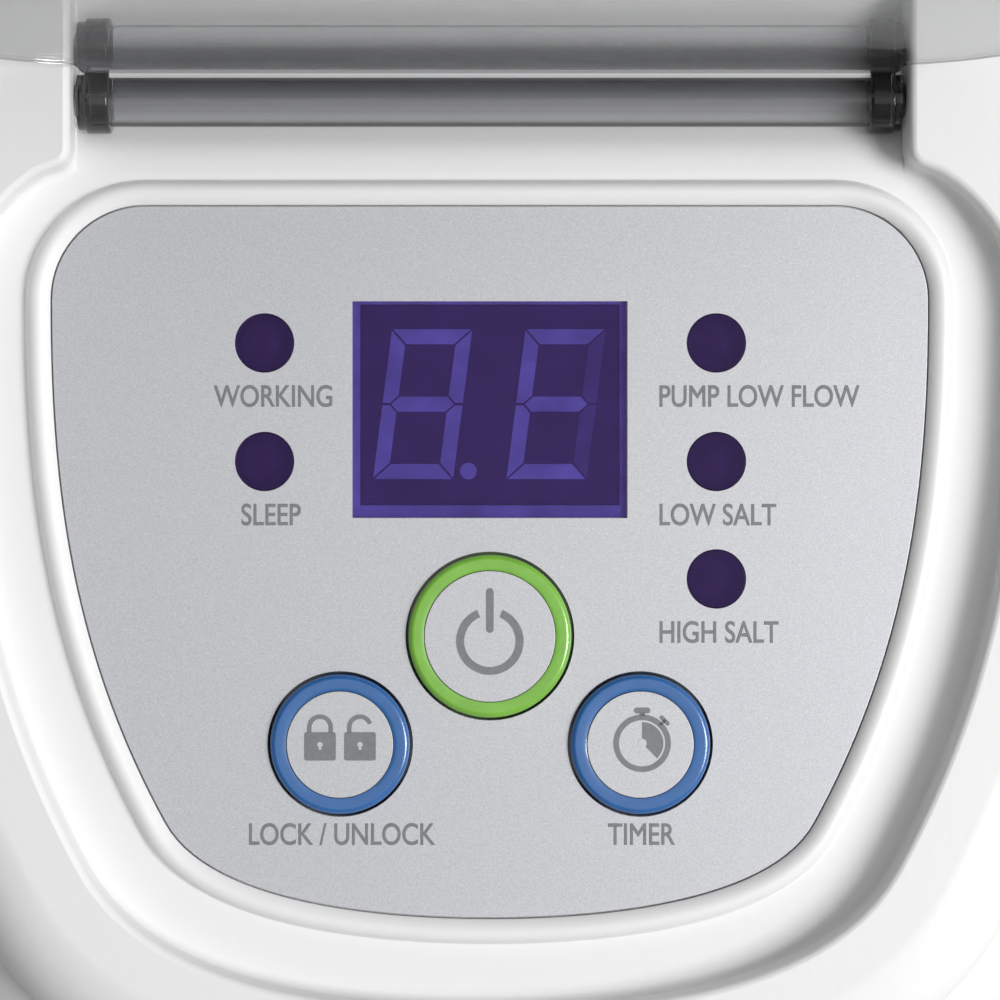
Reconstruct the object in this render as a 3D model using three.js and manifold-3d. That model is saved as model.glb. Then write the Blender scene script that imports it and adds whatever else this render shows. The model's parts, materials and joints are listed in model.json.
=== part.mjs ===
// Portable salt chlorine generator for an above-ground pool: a white tower with a sloped control
// panel under a hinged smoky lid, standing on a grey tray that holds the electrolytic flow cell.
// Millimetres, +Z up, front towards -Y, +X to the right. The origin is under the middle of the feet.

import * as THREE from 'three';
import { mergeVertices } from 'three/addons/utils/BufferGeometryUtils.js';
import Module from 'manifold-3d';

const wasm = await Module();
wasm.setup();

// ---- driving dimensions ----

const GAP = 0.3; // clearance between pieces that touch on the real object

// Panel frame: u to the right, v up the slope, h out of the face. h = 0 is the shoulder round the recess.
const PANEL_TILT = Math.PI / 6;
const PANEL_CENTRE = new THREE.Vector3(0, -12, 236);

// Label outline, in the panel frame.
const LABEL_TOP = 33.5;
const LABEL_BOTTOM = -33.5;
const LABEL_HALF_WIDTH = 41.3;
const LABEL_CORNER = 8.7;
const LABEL_THICK = 0.5;
const LABEL_FACE = -4;
const SEAT_FACE = LABEL_FACE - LABEL_THICK - GAP;
const SEAT_UNDERSIDE = -7.4;

// Rim bead, channel and recess wall, as offsets from the label outline.
const RIM_WIDTH = 2.6;
const RIM_TOP = -3;
const CHANNEL_FLOOR = -4.5;
const RECESS_OFFSET = 8.4;
const RECESS_TOP_DROP = -2.7;

// Body tower.
const WALL = 2.6;
const BASE_HALF_WIDTH = 106;
const BASE_HALF_DEPTH = 88;
const BASE_CORNER = 34;
const SPLIT_HEIGHT = 52.5;
const TOWER_TOP_OFFSET = 21;
const TOWER_TOP_H = -8;
const TOWER_TOP_RISE = 9;
const TOWER_BULGE = 1.7; // above 1 keeps the walls upright near the tray and draws them in near the panel

// Lid hinge, in the panel frame.
const HINGE_V = 43.7;
const HINGE_H = -4.6;
const BARREL_R = 2.5;
const COLLAR_R = 3.15;
const COLLAR_INNER = 35.8;
const TROUGH_HALF = 39.2;
const TROUGH_BACK = 50;
const TROUGH_FLOOR = -8;
const TROUGH_FRONT = [[36.5, -4.4], [39, -4.4], [39.9, -4.7], [40.6, -6.6], [42, TROUGH_FLOOR]]; // v and h
const TROUGH_BLOCK = { half: 43, front: 34.5, wallFront: 40, floor: -10.6, top: -2 };
const PIN_R = 1.5;
const PIN_END = 41.4;
const LID_THICK = 2.3;
const LID_OPEN = Math.PI / 2;
const LID_CLEARANCE = 0.5;

// Display, lamps and buttons, in the panel frame.
const WINDOW = { u: 0, v: 14.4, width: 26, height: 20.5 };
const MODULE = { width: 25, height: 19, depth: 8.6 };
const LAMP_R = 2.75;
const LED_R = 2.5;
const LAMPS = [
  { name: 'working', u: -21.3, v: 20.7 },
  { name: 'sleep', u: -21.3, v: 9.5 },
  { name: 'low_flow', u: 21.4, v: 20.7 },
  { name: 'low_salt', u: 21.4, v: 9.5 },
  { name: 'high_salt', u: 21.4, v: -1.6 },
];
const BUTTONS = [
  { name: 'power', u: 0, v: -7, radius: 7.7, disc: 6.15, color: 0x78b438 },
  { name: 'lock', u: -14.15, v: -17.2, radius: 6.6, disc: 5, color: 0x2e72b4 },
  { name: 'timer', u: 14.2, v: -17.2, radius: 6.6, disc: 5, color: 0x2e72b4 },
];
const BUTTON_FACE = -3;
const BUTTON_FLANGE = 1.1; // how far the retaining flange stands out
const BUTTON_STEM_END = -9.8;
const BOARD_FACE = -14.1;
const BOARD_THICK = 1.6;
const BOARD_POSTS = [[-36, 26], [36, 26], [-27, -22], [27, -22]];
const BOARD_POST_R = 3;

// Flow cell, lying along X.
const CELL_HEIGHT = SPLIT_HEIGHT - GAP / 2;
const CHAMBER_R = 32;
const CHAMBER_BORE = 29;
const CHAMBER_HALF = 70;
const PORT_R = 24;
const PORT_BORE = 20;
const PORT_END = 127;
const NOTCH_R = PORT_R + 0.5;
const CELL_FLANGE = { x: 62, y: 28, top: 87, bottom: 70 };
const CELL_WINDOW = { x: 55, y: 19 };
const CONE_LENGTH = 8;
const THREAD_START = 112;
const THREAD_PITCH = 4;
const THREAD_DEPTH = 1;
const SENSOR_X = -87;
const SENSOR_BOSS_R = 11;
const SENSOR_PLUG_R = 7.9;
const SENSOR_BOSS_RISE = 34; // above the cell's axis
const PLATE_PITCH = 6;
const PLATE = { half: 50, thick: 1.2, bottom: 34, top: 76 };

// Rear cover.
const COVER = { x: 54, bottom: 108, top: 212 };
const COVER_SCREWS = [[-46, 118], [46, 118], [-46, 202], [46, 202]];

// Electronics shelf.
const SHELF_BOTTOM = 122;
const SHELF_THICK = 2.5;
const BOARD_BACK = 25.6;

const SEGMENTS = 16;

// ---- materials ----

const material = (color, roughness, metalness = 0) =>
  new THREE.MeshStandardMaterial({ color, roughness, metalness });
const WHITE = material(0xf0f0ee, 0.42);
const GREY = material(0x8d9297, 0.5);
const DARK = material(0x3c4044, 0.5);
const SMOKE = material(0x6c7074, 0.08);
SMOKE.transparent = true;
SMOKE.opacity = 0.45;
const SILVER = material(0xc4c6c9, 0.35, 0.5);
const VIOLET = material(0x3a2464, 0.12);
const BOARD = material(0x2e6b43, 0.55);
const RUBBER = material(0x1e1f20, 0.85);
const STEEL = material(0xb4b7ba, 0.3, 1);
const TITANIUM = material(0x8b8d8f, 0.4, 1);

// ---- solids ----

function toSolid(geometry) {
  const bare = geometry.clone();
  bare.deleteAttribute('normal');
  bare.deleteAttribute('uv');
  const merged = mergeVertices(bare, 1e-4);
  const vertProperties = new Float32Array(merged.attributes.position.array);
  const triVerts = new Uint32Array(merged.index.array);
  return new wasm.Manifold(new wasm.Mesh({ numProp: 3, vertProperties, triVerts }));
}

function toGeometry(solid) {
  const mesh = solid.getMesh();
  const geometry = new THREE.BufferGeometry();
  geometry.setAttribute('position', new THREE.BufferAttribute(mesh.vertProperties, 3));
  geometry.setIndex(new THREE.BufferAttribute(mesh.triVerts, 1));
  geometry.computeVertexNormals();
  return geometry;
}

const joinAll = (solids) => solids.reduce((whole, solid) => whole.add(solid));
const cutAll = (solid, cutters) => cutters.reduce((rest, cutter) => rest.subtract(cutter), solid);

// A box between two opposite corners.
function boxGeometry([x0, y0, z0], [x1, y1, z1]) {
  const box = new THREE.BoxGeometry(x1 - x0, y1 - y0, z1 - z0);
  return box.translate((x0 + x1) / 2, (y0 + y1) / 2, (z0 + z1) / 2);
}
const boxSolid = (low, high) => toSolid(boxGeometry(low, high));

// A round rod along one axis, from one end to the other, through the other two coordinates.
function rodGeometry(axis, radius, from, to, [a, b] = [0, 0], segments = SEGMENTS) {
  const rod = new THREE.CylinderGeometry(radius, radius, to - from, segments);
  rod.translate(0, (from + to) / 2, 0);
  if (axis === 'x') return rod.rotateZ(-Math.PI / 2).translate(0, a, b);
  if (axis === 'y') return rod.translate(a, 0, b);
  return rod.rotateX(Math.PI / 2).translate(a, b, 0);
}
const rodSolid = (...shape) => toSolid(rodGeometry(...shape));

// A solid of revolution about X, from points of radius and x.
function turnedGeometry(profile, segments = SEGMENTS) {
  const points = profile.map(([radius, x]) => new THREE.Vector2(radius, x));
  const lathe = new THREE.LatheGeometry(points, segments);
  return lathe.rotateZ(-Math.PI / 2);
}

// Turns an extrusion along Z so that it runs along X, with its section's x and y as Y and Z.
const sectionAlongX = (geometry) => geometry.rotateX(Math.PI / 2).rotateZ(Math.PI / 2);

// A tube is a closed section, so its profile returns to its first point.
const turnedTube = (profile, segments) => turnedGeometry([...profile, profile[0]], segments);

// A solid of revolution about Z, from points of radius and z.
function upright(profile, segments) {
  const points = profile.map(([radius, z]) => new THREE.Vector2(radius, z));
  return new THREE.LatheGeometry(points, segments).rotateX(Math.PI / 2);
}

// Mirrors an indexed geometry to the other side and turns its triangles back outwards.
function mirroredX(geometry) {
  const copy = geometry.clone().scale(-1, 1, 1);
  const { index } = copy;
  for (let i = 0; i < index.count; i += 3) {
    const kept = index.getX(i);
    index.setX(i, index.getX(i + 2));
    index.setX(i + 2, kept);
  }
  copy.computeVertexNormals();
  return copy;
}

// Skins rings of equal point count into one closed solid, with a fan over the first and last ring.
function ringSolid(rings) {
  const count = rings[0].length;
  const points = rings.flat();
  const faces = [];
  for (let r = 0; r + 1 < rings.length; r += 1) {
    for (let i = 0; i < count; i += 1) {
      const next = (i + 1) % count;
      const [a, b, c, d] = [r * count + i, r * count + next, (r + 1) * count + i, (r + 1) * count + next];
      faces.push(a, b, c, c, b, d);
    }
  }
  const fan = (first, flipped) => {
    const middle = new THREE.Vector3();
    for (let i = 0; i < count; i += 1) middle.addScaledVector(points[first + i], 1 / count);
    points.push(middle);
    for (let i = 0; i < count; i += 1) {
      const [a, b] = [first + i, first + ((i + 1) % count)];
      faces.push(...(flipped ? [b, a, points.length - 1] : [a, b, points.length - 1]));
    }
  };
  fan(0, true);
  fan((rings.length - 1) * count, false);
  const geometry = new THREE.BufferGeometry().setFromPoints(points);
  geometry.setIndex(faces);
  return toSolid(geometry);
}

// ---- the outline family of the panel ----

function labelShape() {
  const shape = new THREE.Shape();
  const cornerU = LABEL_HALF_WIDTH - LABEL_CORNER;
  const cornerV = LABEL_TOP - LABEL_CORNER;
  const knee = [30.5, -24.6];
  shape.moveTo(0, LABEL_TOP);
  shape.lineTo(cornerU, LABEL_TOP);
  shape.absarc(cornerU, cornerV, LABEL_CORNER, Math.PI / 2, 0, true);
  shape.bezierCurveTo(LABEL_HALF_WIDTH, 7.6, 39.5, -8.2, ...knee);
  shape.bezierCurveTo(26.2, -32.4, 9.1, LABEL_BOTTOM, 0, LABEL_BOTTOM);
  shape.bezierCurveTo(-9.1, LABEL_BOTTOM, -26.2, -32.4, -knee[0], knee[1]);
  shape.bezierCurveTo(-39.5, -8.2, -LABEL_HALF_WIDTH, 7.6, -LABEL_HALF_WIDTH, cornerV);
  shape.absarc(-cornerU, cornerV, LABEL_CORNER, Math.PI, Math.PI / 2, true);
  shape.lineTo(0, LABEL_TOP);
  return shape;
}

function baseShape() {
  const shape = new THREE.Shape();
  const x = BASE_HALF_WIDTH - BASE_CORNER;
  const y = BASE_HALF_DEPTH - BASE_CORNER;
  shape.moveTo(0, BASE_HALF_DEPTH);
  shape.lineTo(x, BASE_HALF_DEPTH);
  shape.absarc(x, y, BASE_CORNER, Math.PI / 2, 0, true);
  shape.lineTo(BASE_HALF_WIDTH, -y);
  shape.absarc(x, -y, BASE_CORNER, 0, -Math.PI / 2, true);
  shape.lineTo(-x, -BASE_HALF_DEPTH);
  shape.absarc(-x, -y, BASE_CORNER, -Math.PI / 2, -Math.PI, true);
  shape.lineTo(-BASE_HALF_WIDTH, y);
  shape.absarc(-x, y, BASE_CORNER, Math.PI, Math.PI / 2, true);
  shape.lineTo(0, BASE_HALF_DEPTH);
  return shape;
}

// Points along a shape's curves with the outward normal at each one.
function sampled(shape, divisions) {
  return shape.curves.flatMap((curve, c) =>
    Array.from({ length: divisions[c] }, (_, k) => {
      const point = curve.getPointAt(k / divisions[c]);
      const tangent = curve.getTangentAt(k / divisions[c]);
      return { point, normal: new THREE.Vector2(-tangent.y, tangent.x) };
    }));
}

const LABEL_POINTS = sampled(labelShape(), [4, 4, 9, 7, 7, 9, 4, 4]);
const BASE_POINTS = sampled(baseShape(), [4, 4, 5, 4, 14, 4, 5, 4, 4]);

// The label outline grown by offset; its upper part is stretched upwards by rise.
function outline(offset, rise = 0) {
  return LABEL_POINTS.map(({ point, normal }) => {
    const grown = point.clone().addScaledVector(normal, offset);
    grown.y += rise * THREE.MathUtils.clamp(point.y / LABEL_TOP, 0, 1);
    return grown;
  });
}

// The same outline as a shape, without the points that lie along its straight top edge.
function outlineShape(offset, rise = 0) {
  const points = outline(offset, rise);
  const bends = points.filter((p, i) => {
    const before = points.at(i - 1);
    const after = points[(i + 1) % points.length];
    return Math.abs(p.clone().sub(before).cross(after.clone().sub(p))) > 1e-6;
  });
  return new THREE.Shape(bends.reverse());
}

const panelMatrix = new THREE.Matrix4().makeRotationX(PANEL_TILT).setPosition(PANEL_CENTRE);
const toRow = (solid) => toSolid(toGeometry(solid).applyMatrix4(panelMatrix));
const panelRing = (offset, h, rise = 0) =>
  outline(offset, rise).map((p) => new THREE.Vector3(p.x, p.y, h).applyMatrix4(panelMatrix));
const flatRing = (offset, z) =>
  BASE_POINTS.map(({ point, normal }) =>
    new THREE.Vector3(point.x + normal.x * offset, point.y + normal.y * offset, z));

// A ring of the tower wall, t = 0 at the split with the tray and t = 1 under the shoulder.
function towerRing(t, inset) {
  const low = flatRing(-inset, SPLIT_HEIGHT);
  const high = panelRing(TOWER_TOP_OFFSET - inset, TOWER_TOP_H, TOWER_TOP_RISE);
  return low.map((p, i) => {
    const q = high[i];
    const drawn = t ** TOWER_BULGE;
    return new THREE.Vector3(
      THREE.MathUtils.lerp(p.x, q.x, drawn),
      THREE.MathUtils.lerp(p.y, q.y, drawn),
      THREE.MathUtils.lerp(p.z, q.z, t),
    );
  });
}

const TOWER_STEPS = [0, 0.25, 0.5, 0.75, 1];

// ---- housing ----

function towerShell() {
  const drop = RECESS_TOP_DROP;
  const face = [
    panelRing(GAP, SEAT_FACE),
    panelRing(GAP, LABEL_FACE),
    panelRing(1.5, RIM_TOP),
    panelRing(2.2, -3.4),
    panelRing(RIM_WIDTH, CHANNEL_FLOOR),
    panelRing(RECESS_OFFSET - 0.6, CHANNEL_FLOOR, drop),
    panelRing(RECESS_OFFSET, -0.6, drop),
    panelRing(RECESS_OFFSET + 0.5, 0, drop),
    panelRing(13, 0, TOWER_TOP_RISE - 1),
    panelRing(17.5, -1.6, TOWER_TOP_RISE),
    panelRing(20, -4.6, TOWER_TOP_RISE),
  ];
  const outer = [...TOWER_STEPS].reverse().map((t) => towerRing(t, 0));
  const inner = TOWER_STEPS.map((t) => towerRing(t, WALL));
  const under = [
    panelRing(16, -4.8, TOWER_TOP_RISE),
    panelRing(12.6, -WALL, TOWER_TOP_RISE - 1),
    panelRing(RECESS_OFFSET + WALL + 0.3, -WALL, drop),
    panelRing(RECESS_OFFSET + WALL, SEAT_UNDERSIDE, drop),
  ];
  return ringSolid([...face, ...outer, ...inner, ...under]);
}

// Thicker wall round the hinge trough: a slab under the channel floor and walls beside and behind.
function troughBlock() {
  const { half, front, wallFront, floor, top } = TROUGH_BLOCK;
  const back = TROUGH_BACK + WALL;
  const under = CHANNEL_FLOOR - GAP;
  const slab = boxSolid([-half, front, floor], [half, back, under]);
  return toRow(slab.add(boxSolid([-half, wallFront, under - 1], [half, back, top])));
}

// The trough itself, with a front that drops from the channel floor.
function troughCut() {
  const above = 6;
  const back = [[TROUGH_BACK, TROUGH_FLOOR], [TROUGH_BACK, above], [TROUGH_FRONT[0][0], above]];
  const section = new THREE.Shape([...TROUGH_FRONT, ...back].map((p) => new THREE.Vector2(...p)));
  const cut = new THREE.ExtrudeGeometry(section, { depth: 2 * TROUGH_HALF, bevelEnabled: false });
  return toRow(toSolid(sectionAlongX(cut).translate(-TROUGH_HALF, 0, 0)));
}

const hingeHoles = () =>
  toRow(rodSolid('x', PIN_R + GAP, -PIN_END - GAP, PIN_END + GAP, [HINGE_V, HINGE_H], 16));

function faceCutters() {
  const through = [-12, 0];
  const display = boxSolid(
    [-MODULE.width / 2 - GAP, WINDOW.v - MODULE.height / 2 - GAP, through[0]],
    [MODULE.width / 2 + GAP, WINDOW.v + MODULE.height / 2 + GAP, through[1]],
  );
  const lamps = LAMPS.map((l) => rodSolid('z', LED_R + 0.4, ...through, [l.u, l.v], 16));
  const buttons = BUTTONS.map((b) => rodSolid('z', b.radius + GAP, ...through, [b.u, b.v]));
  return [display, ...lamps, ...buttons].map(toRow);
}

const boardPosts = () =>
  BOARD_POSTS.map((at) =>
    toRow(rodSolid('z', BOARD_POST_R, BOARD_FACE + GAP, SEAT_UNDERSIDE + 1, at, 12)));

// How far back the tower's surface lies at a given x and z.
const TOWER = towerShell();
function rearWall(x, z) {
  const probe = TOWER.intersect(boxSolid([x - 0.1, 0, z - 0.1], [x + 0.1, 120, z + 0.1]));
  return probe.boundingBox().max[1];
}

// The tower as a full solid, drawn in by an inset from its outer skin.
const towerCore = (inset) => ringSolid([...TOWER_STEPS].reverse().map((t) => towerRing(t, inset)));

const coverBlock = (shrink) =>
  boxSolid([-COVER.x + shrink, 20, COVER.bottom + shrink], [COVER.x - shrink, 120, COVER.top - shrink]);

const SCREW_SHANK = 2;
const SCREW_HEAD = 4;
const SCREW_SEAT = 1.6; // depth of the countersunk seat under the cover's surface
const SCREW_LENGTH = 12;

// A boss stands clear behind the cover and joins the wall beside the opening.
function screwBoss([x, z]) {
  const side = Math.sign(x);
  const y = rearWall(x, z);
  const block = (from, to) => boxSolid(
    [Math.min(side * from, side * to), y - 14, z - 6],
    [Math.max(side * from, side * to), y + 10, z + 6],
  );
  const pad = block(41, 57.5).intersect(towerCore(WALL + 0.5));
  const root = block(COVER.x + 0.5, 57.5).intersect(towerCore(1));
  return pad.add(root);
}

const screwHole = ([x, z]) => {
  const y = rearWall(x, z);
  return rodSolid('y', SCREW_SHANK + GAP, y - 20, y + 6, [x, z], 12);
};

const portNotches = () =>
  rodSolid('x', NOTCH_R, -BASE_HALF_WIDTH - 20, BASE_HALF_WIDTH + 20, [0, CELL_HEIGHT], 32);

function upperHousing() {
  const shell = joinAll([TOWER, troughBlock(), ...boardPosts()]);
  const opened = cutAll(shell, [troughCut(), hingeHoles(), ...faceCutters(), portNotches(), coverBlock(0)]);
  return cutAll(joinAll([opened, ...COVER_SCREWS.map(screwBoss)]), COVER_SCREWS.map(screwHole));
}

const VENT_COUNT = 7;
const VENT_PITCH = 9;

function rearCover() {
  const plate = TOWER.intersect(coverBlock(GAP));
  const vents = Array.from({ length: VENT_COUNT }, (_, k) => {
    const z = (COVER.bottom + COVER.top) / 2 + (k - (VENT_COUNT - 1) / 2) * VENT_PITCH;
    return boxSolid([-30, 20, z - 1.6], [30, 120, z + 1.6]);
  });
  const seats = COVER_SCREWS.map(([x, z]) =>
    rodSolid('y', SCREW_HEAD + GAP, rearWall(x, z) - SCREW_SEAT, rearWall(x, z) + 8, [x, z], 12));
  return cutAll(plate, [...vents, ...seats, ...COVER_SCREWS.map(screwHole)]);
}

function coverScrew([x, z]) {
  const y = rearWall(x, z);
  const shank = rodSolid('y', SCREW_SHANK, y - SCREW_LENGTH, y, [x, z], 8);
  const head = rodSolid('y', SCREW_HEAD, y - SCREW_SEAT + GAP, y + 0.9, [x, z], 12);
  return shank.add(head);
}

// ---- tray and feet ----

const TRAY_BOTTOM = 4;
const TRAY_FLOOR = 7;
const GLAND_HEIGHT = 30;
const GLAND_R = 6.5;

function baseTray() {
  const top = SPLIT_HEIGHT - GAP;
  const rings = [
    flatRing(-12, TRAY_BOTTOM),
    flatRing(-7, TRAY_BOTTOM + 1.5),
    flatRing(-4, TRAY_BOTTOM + 6),
    flatRing(0, top - 10),
    flatRing(0, top),
    flatRing(-WALL - 0.4, top),
    flatRing(-WALL - 0.6, top + 4),
    flatRing(-WALL - 2.4, top + 4),
    flatRing(-WALL - 2.6, top - 12),
    flatRing(-8, TRAY_FLOOR + 3),
    flatRing(-11, TRAY_FLOOR),
  ];
  const saddles = [-54, 54].map((x) =>
    boxSolid([x - 2, -24, TRAY_FLOOR - 1], [x + 2, 24, CELL_HEIGHT - 12]));
  const cradle = rodSolid('x', CHAMBER_R + GAP, -80, 80, [0, CELL_HEIGHT], 32);
  const tray = cutAll(joinAll([ringSolid(rings.reverse()), ...saddles]), [cradle, portNotches()]);
  return tray.subtract(rodSolid('y', GLAND_R + GAP, 60, 100, [60, GLAND_HEIGHT], 16));
}

const FOOT_PLACES = [[-80, -62], [80, -62], [-80, 62], [80, 62]];
const FOOT_TOP = TRAY_BOTTOM - GAP;
const footGeometry = () => upright([[0, 0], [9, 0], [10, 1], [9, FOOT_TOP], [0, FOOT_TOP]], 14);

function glandGeometry() {
  const y = BASE_HALF_DEPTH;
  const at = [60, GLAND_HEIGHT];
  const hex = rodSolid('y', 11, y + GAP, y + 6, at, 6);
  const dome = rodSolid('y', 8.5, y + 5, y + 14, at, 20);
  const thread = rodSolid('y', GLAND_R, y - 12, y + 1, at, 16);
  const bore = rodSolid('y', 3.4, y - 20, y + 20, at, 12);
  return toGeometry(joinAll([hex, dome, thread]).subtract(bore));
}

// ---- lid, in the hinge frame: x along the barrel, -y towards the panel when shut ----

function lidGeometry() {
  const sheetLow = -LID_THICK - HINGE_H;
  const extrude = { depth: LID_THICK, bevelEnabled: false };
  const closedOutline = outlineShape(RECESS_OFFSET - LID_CLEARANCE, RECESS_TOP_DROP - 1.2);
  const sheet = toSolid(new THREE.ExtrudeGeometry(closedOutline, extrude)
    .translate(0, -HINGE_V, sheetLow));
  const tongueHalf = TROUGH_HALF - 0.6;
  const tongue = boxSolid([-tongueHalf, -10, sheetLow], [tongueHalf, 1, sheetLow + LID_THICK]);
  const web = boxSolid([-tongueHalf, -1, 0], [tongueHalf, 1, sheetLow + 0.5]);
  const barrel = rodSolid('x', BARREL_R, -tongueHalf, tongueHalf, [0, 0], 20);
  const collars = [-1, 1].map((side) => {
    const [a, b] = [side * COLLAR_INNER, side * (TROUGH_HALF - GAP)];
    return rodSolid('x', COLLAR_R, Math.min(a, b), Math.max(a, b), [0, 0], 20);
  });
  const pins = rodSolid('x', PIN_R, -PIN_END, PIN_END, [0, 0], 12);
  const lipV = LABEL_BOTTOM - RECESS_OFFSET - HINGE_V;
  const lip = boxSolid([-9, lipV + 3, sheetLow + 1], [9, lipV + 4.5, sheetLow + LID_THICK + 0.9]);
  return toGeometry(joinAll([sheet, tongue, web, barrel, ...collars, pins, lip]));
}

// ---- panel pieces, in the panel frame ----

const circlePath = (u, v, radius) => new THREE.Path().absarc(u, v, radius, 0, 2 * Math.PI, true);

function rectanglePath({ u, v, width, height }) {
  const [x, y] = [width / 2, height / 2];
  const corners = [[-x, -y], [-x, y], [x, y], [x, -y]];
  return new THREE.Path(corners.map(([a, b]) => new THREE.Vector2(u + a, v + b)));
}

function labelGeometry() {
  const shape = outlineShape(0);
  shape.holes = [
    rectanglePath(WINDOW),
    ...LAMPS.map((l) => circlePath(l.u, l.v, LAMP_R + GAP)),
    ...BUTTONS.map((b) => circlePath(b.u, b.v, b.radius + GAP)),
  ];
  const settings = { depth: LABEL_THICK, bevelEnabled: false, curveSegments: 10 };
  return new THREE.ExtrudeGeometry(shape, settings).translate(0, 0, LABEL_FACE - LABEL_THICK);
}

function windowGeometry() {
  const { u, v, width, height } = WINDOW;
  const [x, y] = [width / 2 - GAP, height / 2 - GAP];
  return boxGeometry([u - x, v - y, LABEL_FACE - LABEL_THICK], [u + x, v + y, LABEL_FACE]);
}

const lampWindowGeometry = (lamp) =>
  rodGeometry('z', LAMP_R, LABEL_FACE - LABEL_THICK, LABEL_FACE, [lamp.u, lamp.v], 20);

// A round-topped LED with its flange, standing on the board.
function ledGeometry({ u, v }) {
  const base = BOARD_FACE + GAP;
  const dome = -5.3;
  const profile = [[0, base], [2.9, base], [2.9, base + 1], [LED_R, base + 1], [LED_R, dome - LED_R]];
  for (let k = 1; k <= 3; k += 1) {
    const angle = (k / 3) * (Math.PI / 2);
    profile.push([k === 3 ? 0 : LED_R * Math.cos(angle), dome - LED_R + LED_R * Math.sin(angle)]);
  }
  return upright(profile, 8).translate(u, v, 0);
}

function moduleGeometry() {
  const [x, y] = [MODULE.width / 2, MODULE.height / 2];
  const top = LABEL_FACE - LABEL_THICK - 2 * GAP;
  return boxGeometry([-x, WINDOW.v - y, BOARD_FACE + GAP], [x, WINDOW.v + y, top]);
}

const boardGeometry = () =>
  new THREE.ExtrudeGeometry(outlineShape(2), { depth: BOARD_THICK, bevelEnabled: false })
    .translate(0, 0, BOARD_FACE - BOARD_THICK);

// Key cap: a coloured ring with a pocket for the disc, a retaining flange and a stem.
function buttonCapGeometry({ u, v, radius, disc }) {
  const flangeTop = SEAT_UNDERSIDE - GAP;
  const profile = [
    [0, BUTTON_STEM_END],
    [1.8, BUTTON_STEM_END],
    [1.8, flangeTop - 1.2],
    [radius + BUTTON_FLANGE, flangeTop - 1.2],
    [radius + BUTTON_FLANGE, flangeTop],
    [radius, flangeTop],
    [radius, BUTTON_FACE - 0.4],
    [radius - 0.4, BUTTON_FACE],
    [disc + GAP / 2, BUTTON_FACE],
    [disc + GAP / 2, BUTTON_FACE - 0.9],
    [0, BUTTON_FACE - 0.9],
  ];
  return upright(profile, SEGMENTS).translate(u, v, 0);
}

const buttonDiscGeometry = ({ u, v, disc }) =>
  rodGeometry('z', disc - GAP / 2, BUTTON_FACE - 0.6, BUTTON_FACE - 0.05, [u, v]);

// A tact switch: square case with the well that the stem presses into.
function switchGeometry({ u, v }) {
  const body = boxSolid([u - 3, v - 3, BOARD_FACE + GAP], [u + 3, v + 3, BUTTON_STEM_END - 0.9]);
  const well = rodSolid('z', 1.4, BUTTON_STEM_END - 2.4, 0, [u, v], 12);
  return toGeometry(body.subtract(well));
}

// ---- flow cell ----

const raised = (geometry) => geometry.translate(0, 0, CELL_HEIGHT);

function cellBody() {
  const coneEnd = CHAMBER_HALF + CONE_LENGTH;
  const thread = [0, 1, 2].flatMap((turn) => {
    const x = THREAD_START + turn * THREAD_PITCH;
    return [[PORT_R, x], [PORT_R - THREAD_DEPTH, x + THREAD_PITCH / 2]];
  });
  const outerSide = [
    [CHAMBER_R, CHAMBER_HALF],
    [PORT_R, coneEnd],
    ...thread,
    [PORT_R - THREAD_DEPTH, PORT_END],
  ];
  const innerSide = [[PORT_BORE, PORT_END], [PORT_BORE, coneEnd], [CHAMBER_BORE, CHAMBER_HALF]];
  const flipped = (side) => side.map(([r, x]) => [r, -x]).reverse();
  const section = [...outerSide, ...innerSide, ...flipped(innerSide), ...flipped(outerSide)];
  const tube = toSolid(raised(turnedTube(section, 24)));
  const { x, y, top, bottom } = CELL_FLANGE;
  const bore = rodSolid('x', CHAMBER_BORE, -CHAMBER_HALF, CHAMBER_HALF, [0, CELL_HEIGHT], 28);
  const flange = boxSolid([-x, -y, bottom], [x, y, top]).subtract(bore);
  const bossTop = CELL_HEIGHT + SENSOR_BOSS_RISE;
  const boss = rodSolid('z', SENSOR_BOSS_R, CELL_HEIGHT + 16, bossTop, [SENSOR_X, 0], 20)
    .subtract(rodSolid('x', PORT_BORE, -120, -CHAMBER_HALF, [0, CELL_HEIGHT], 28));
  const above = top + 20;
  const opening = boxSolid(
    [-CELL_WINDOW.x, -CELL_WINDOW.y, CELL_HEIGHT],
    [CELL_WINDOW.x, CELL_WINDOW.y, above],
  );
  const sensorHole = rodSolid('z', SENSOR_PLUG_R + 0.4, CELL_HEIGHT, above, [SENSOR_X, 0], 20);
  return cutAll(joinAll([tube, flange, boss]), [opening, sensorHole]);
}

const GASKET_TOP = CELL_FLANGE.top + GAP + 1.6;
const COVER_TOP = GASKET_TOP + GAP + 4;
const HANGER_X = 46;
const HANGER_FOOT = 66;
const TERMINAL_X = 34;
const TERMINAL_R = 3;
const TERMINAL_RISE = 14;

function gasketGeometry() {
  const { x, y, top } = CELL_FLANGE;
  const low = top + GAP;
  const ring = boxSolid([-x, -y, low], [x, y, GASKET_TOP]);
  return toGeometry(ring.subtract(boxSolid(
    [-CELL_WINDOW.x, -CELL_WINDOW.y, low - 1],
    [CELL_WINDOW.x, CELL_WINDOW.y, GASKET_TOP + 1],
  )));
}

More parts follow.
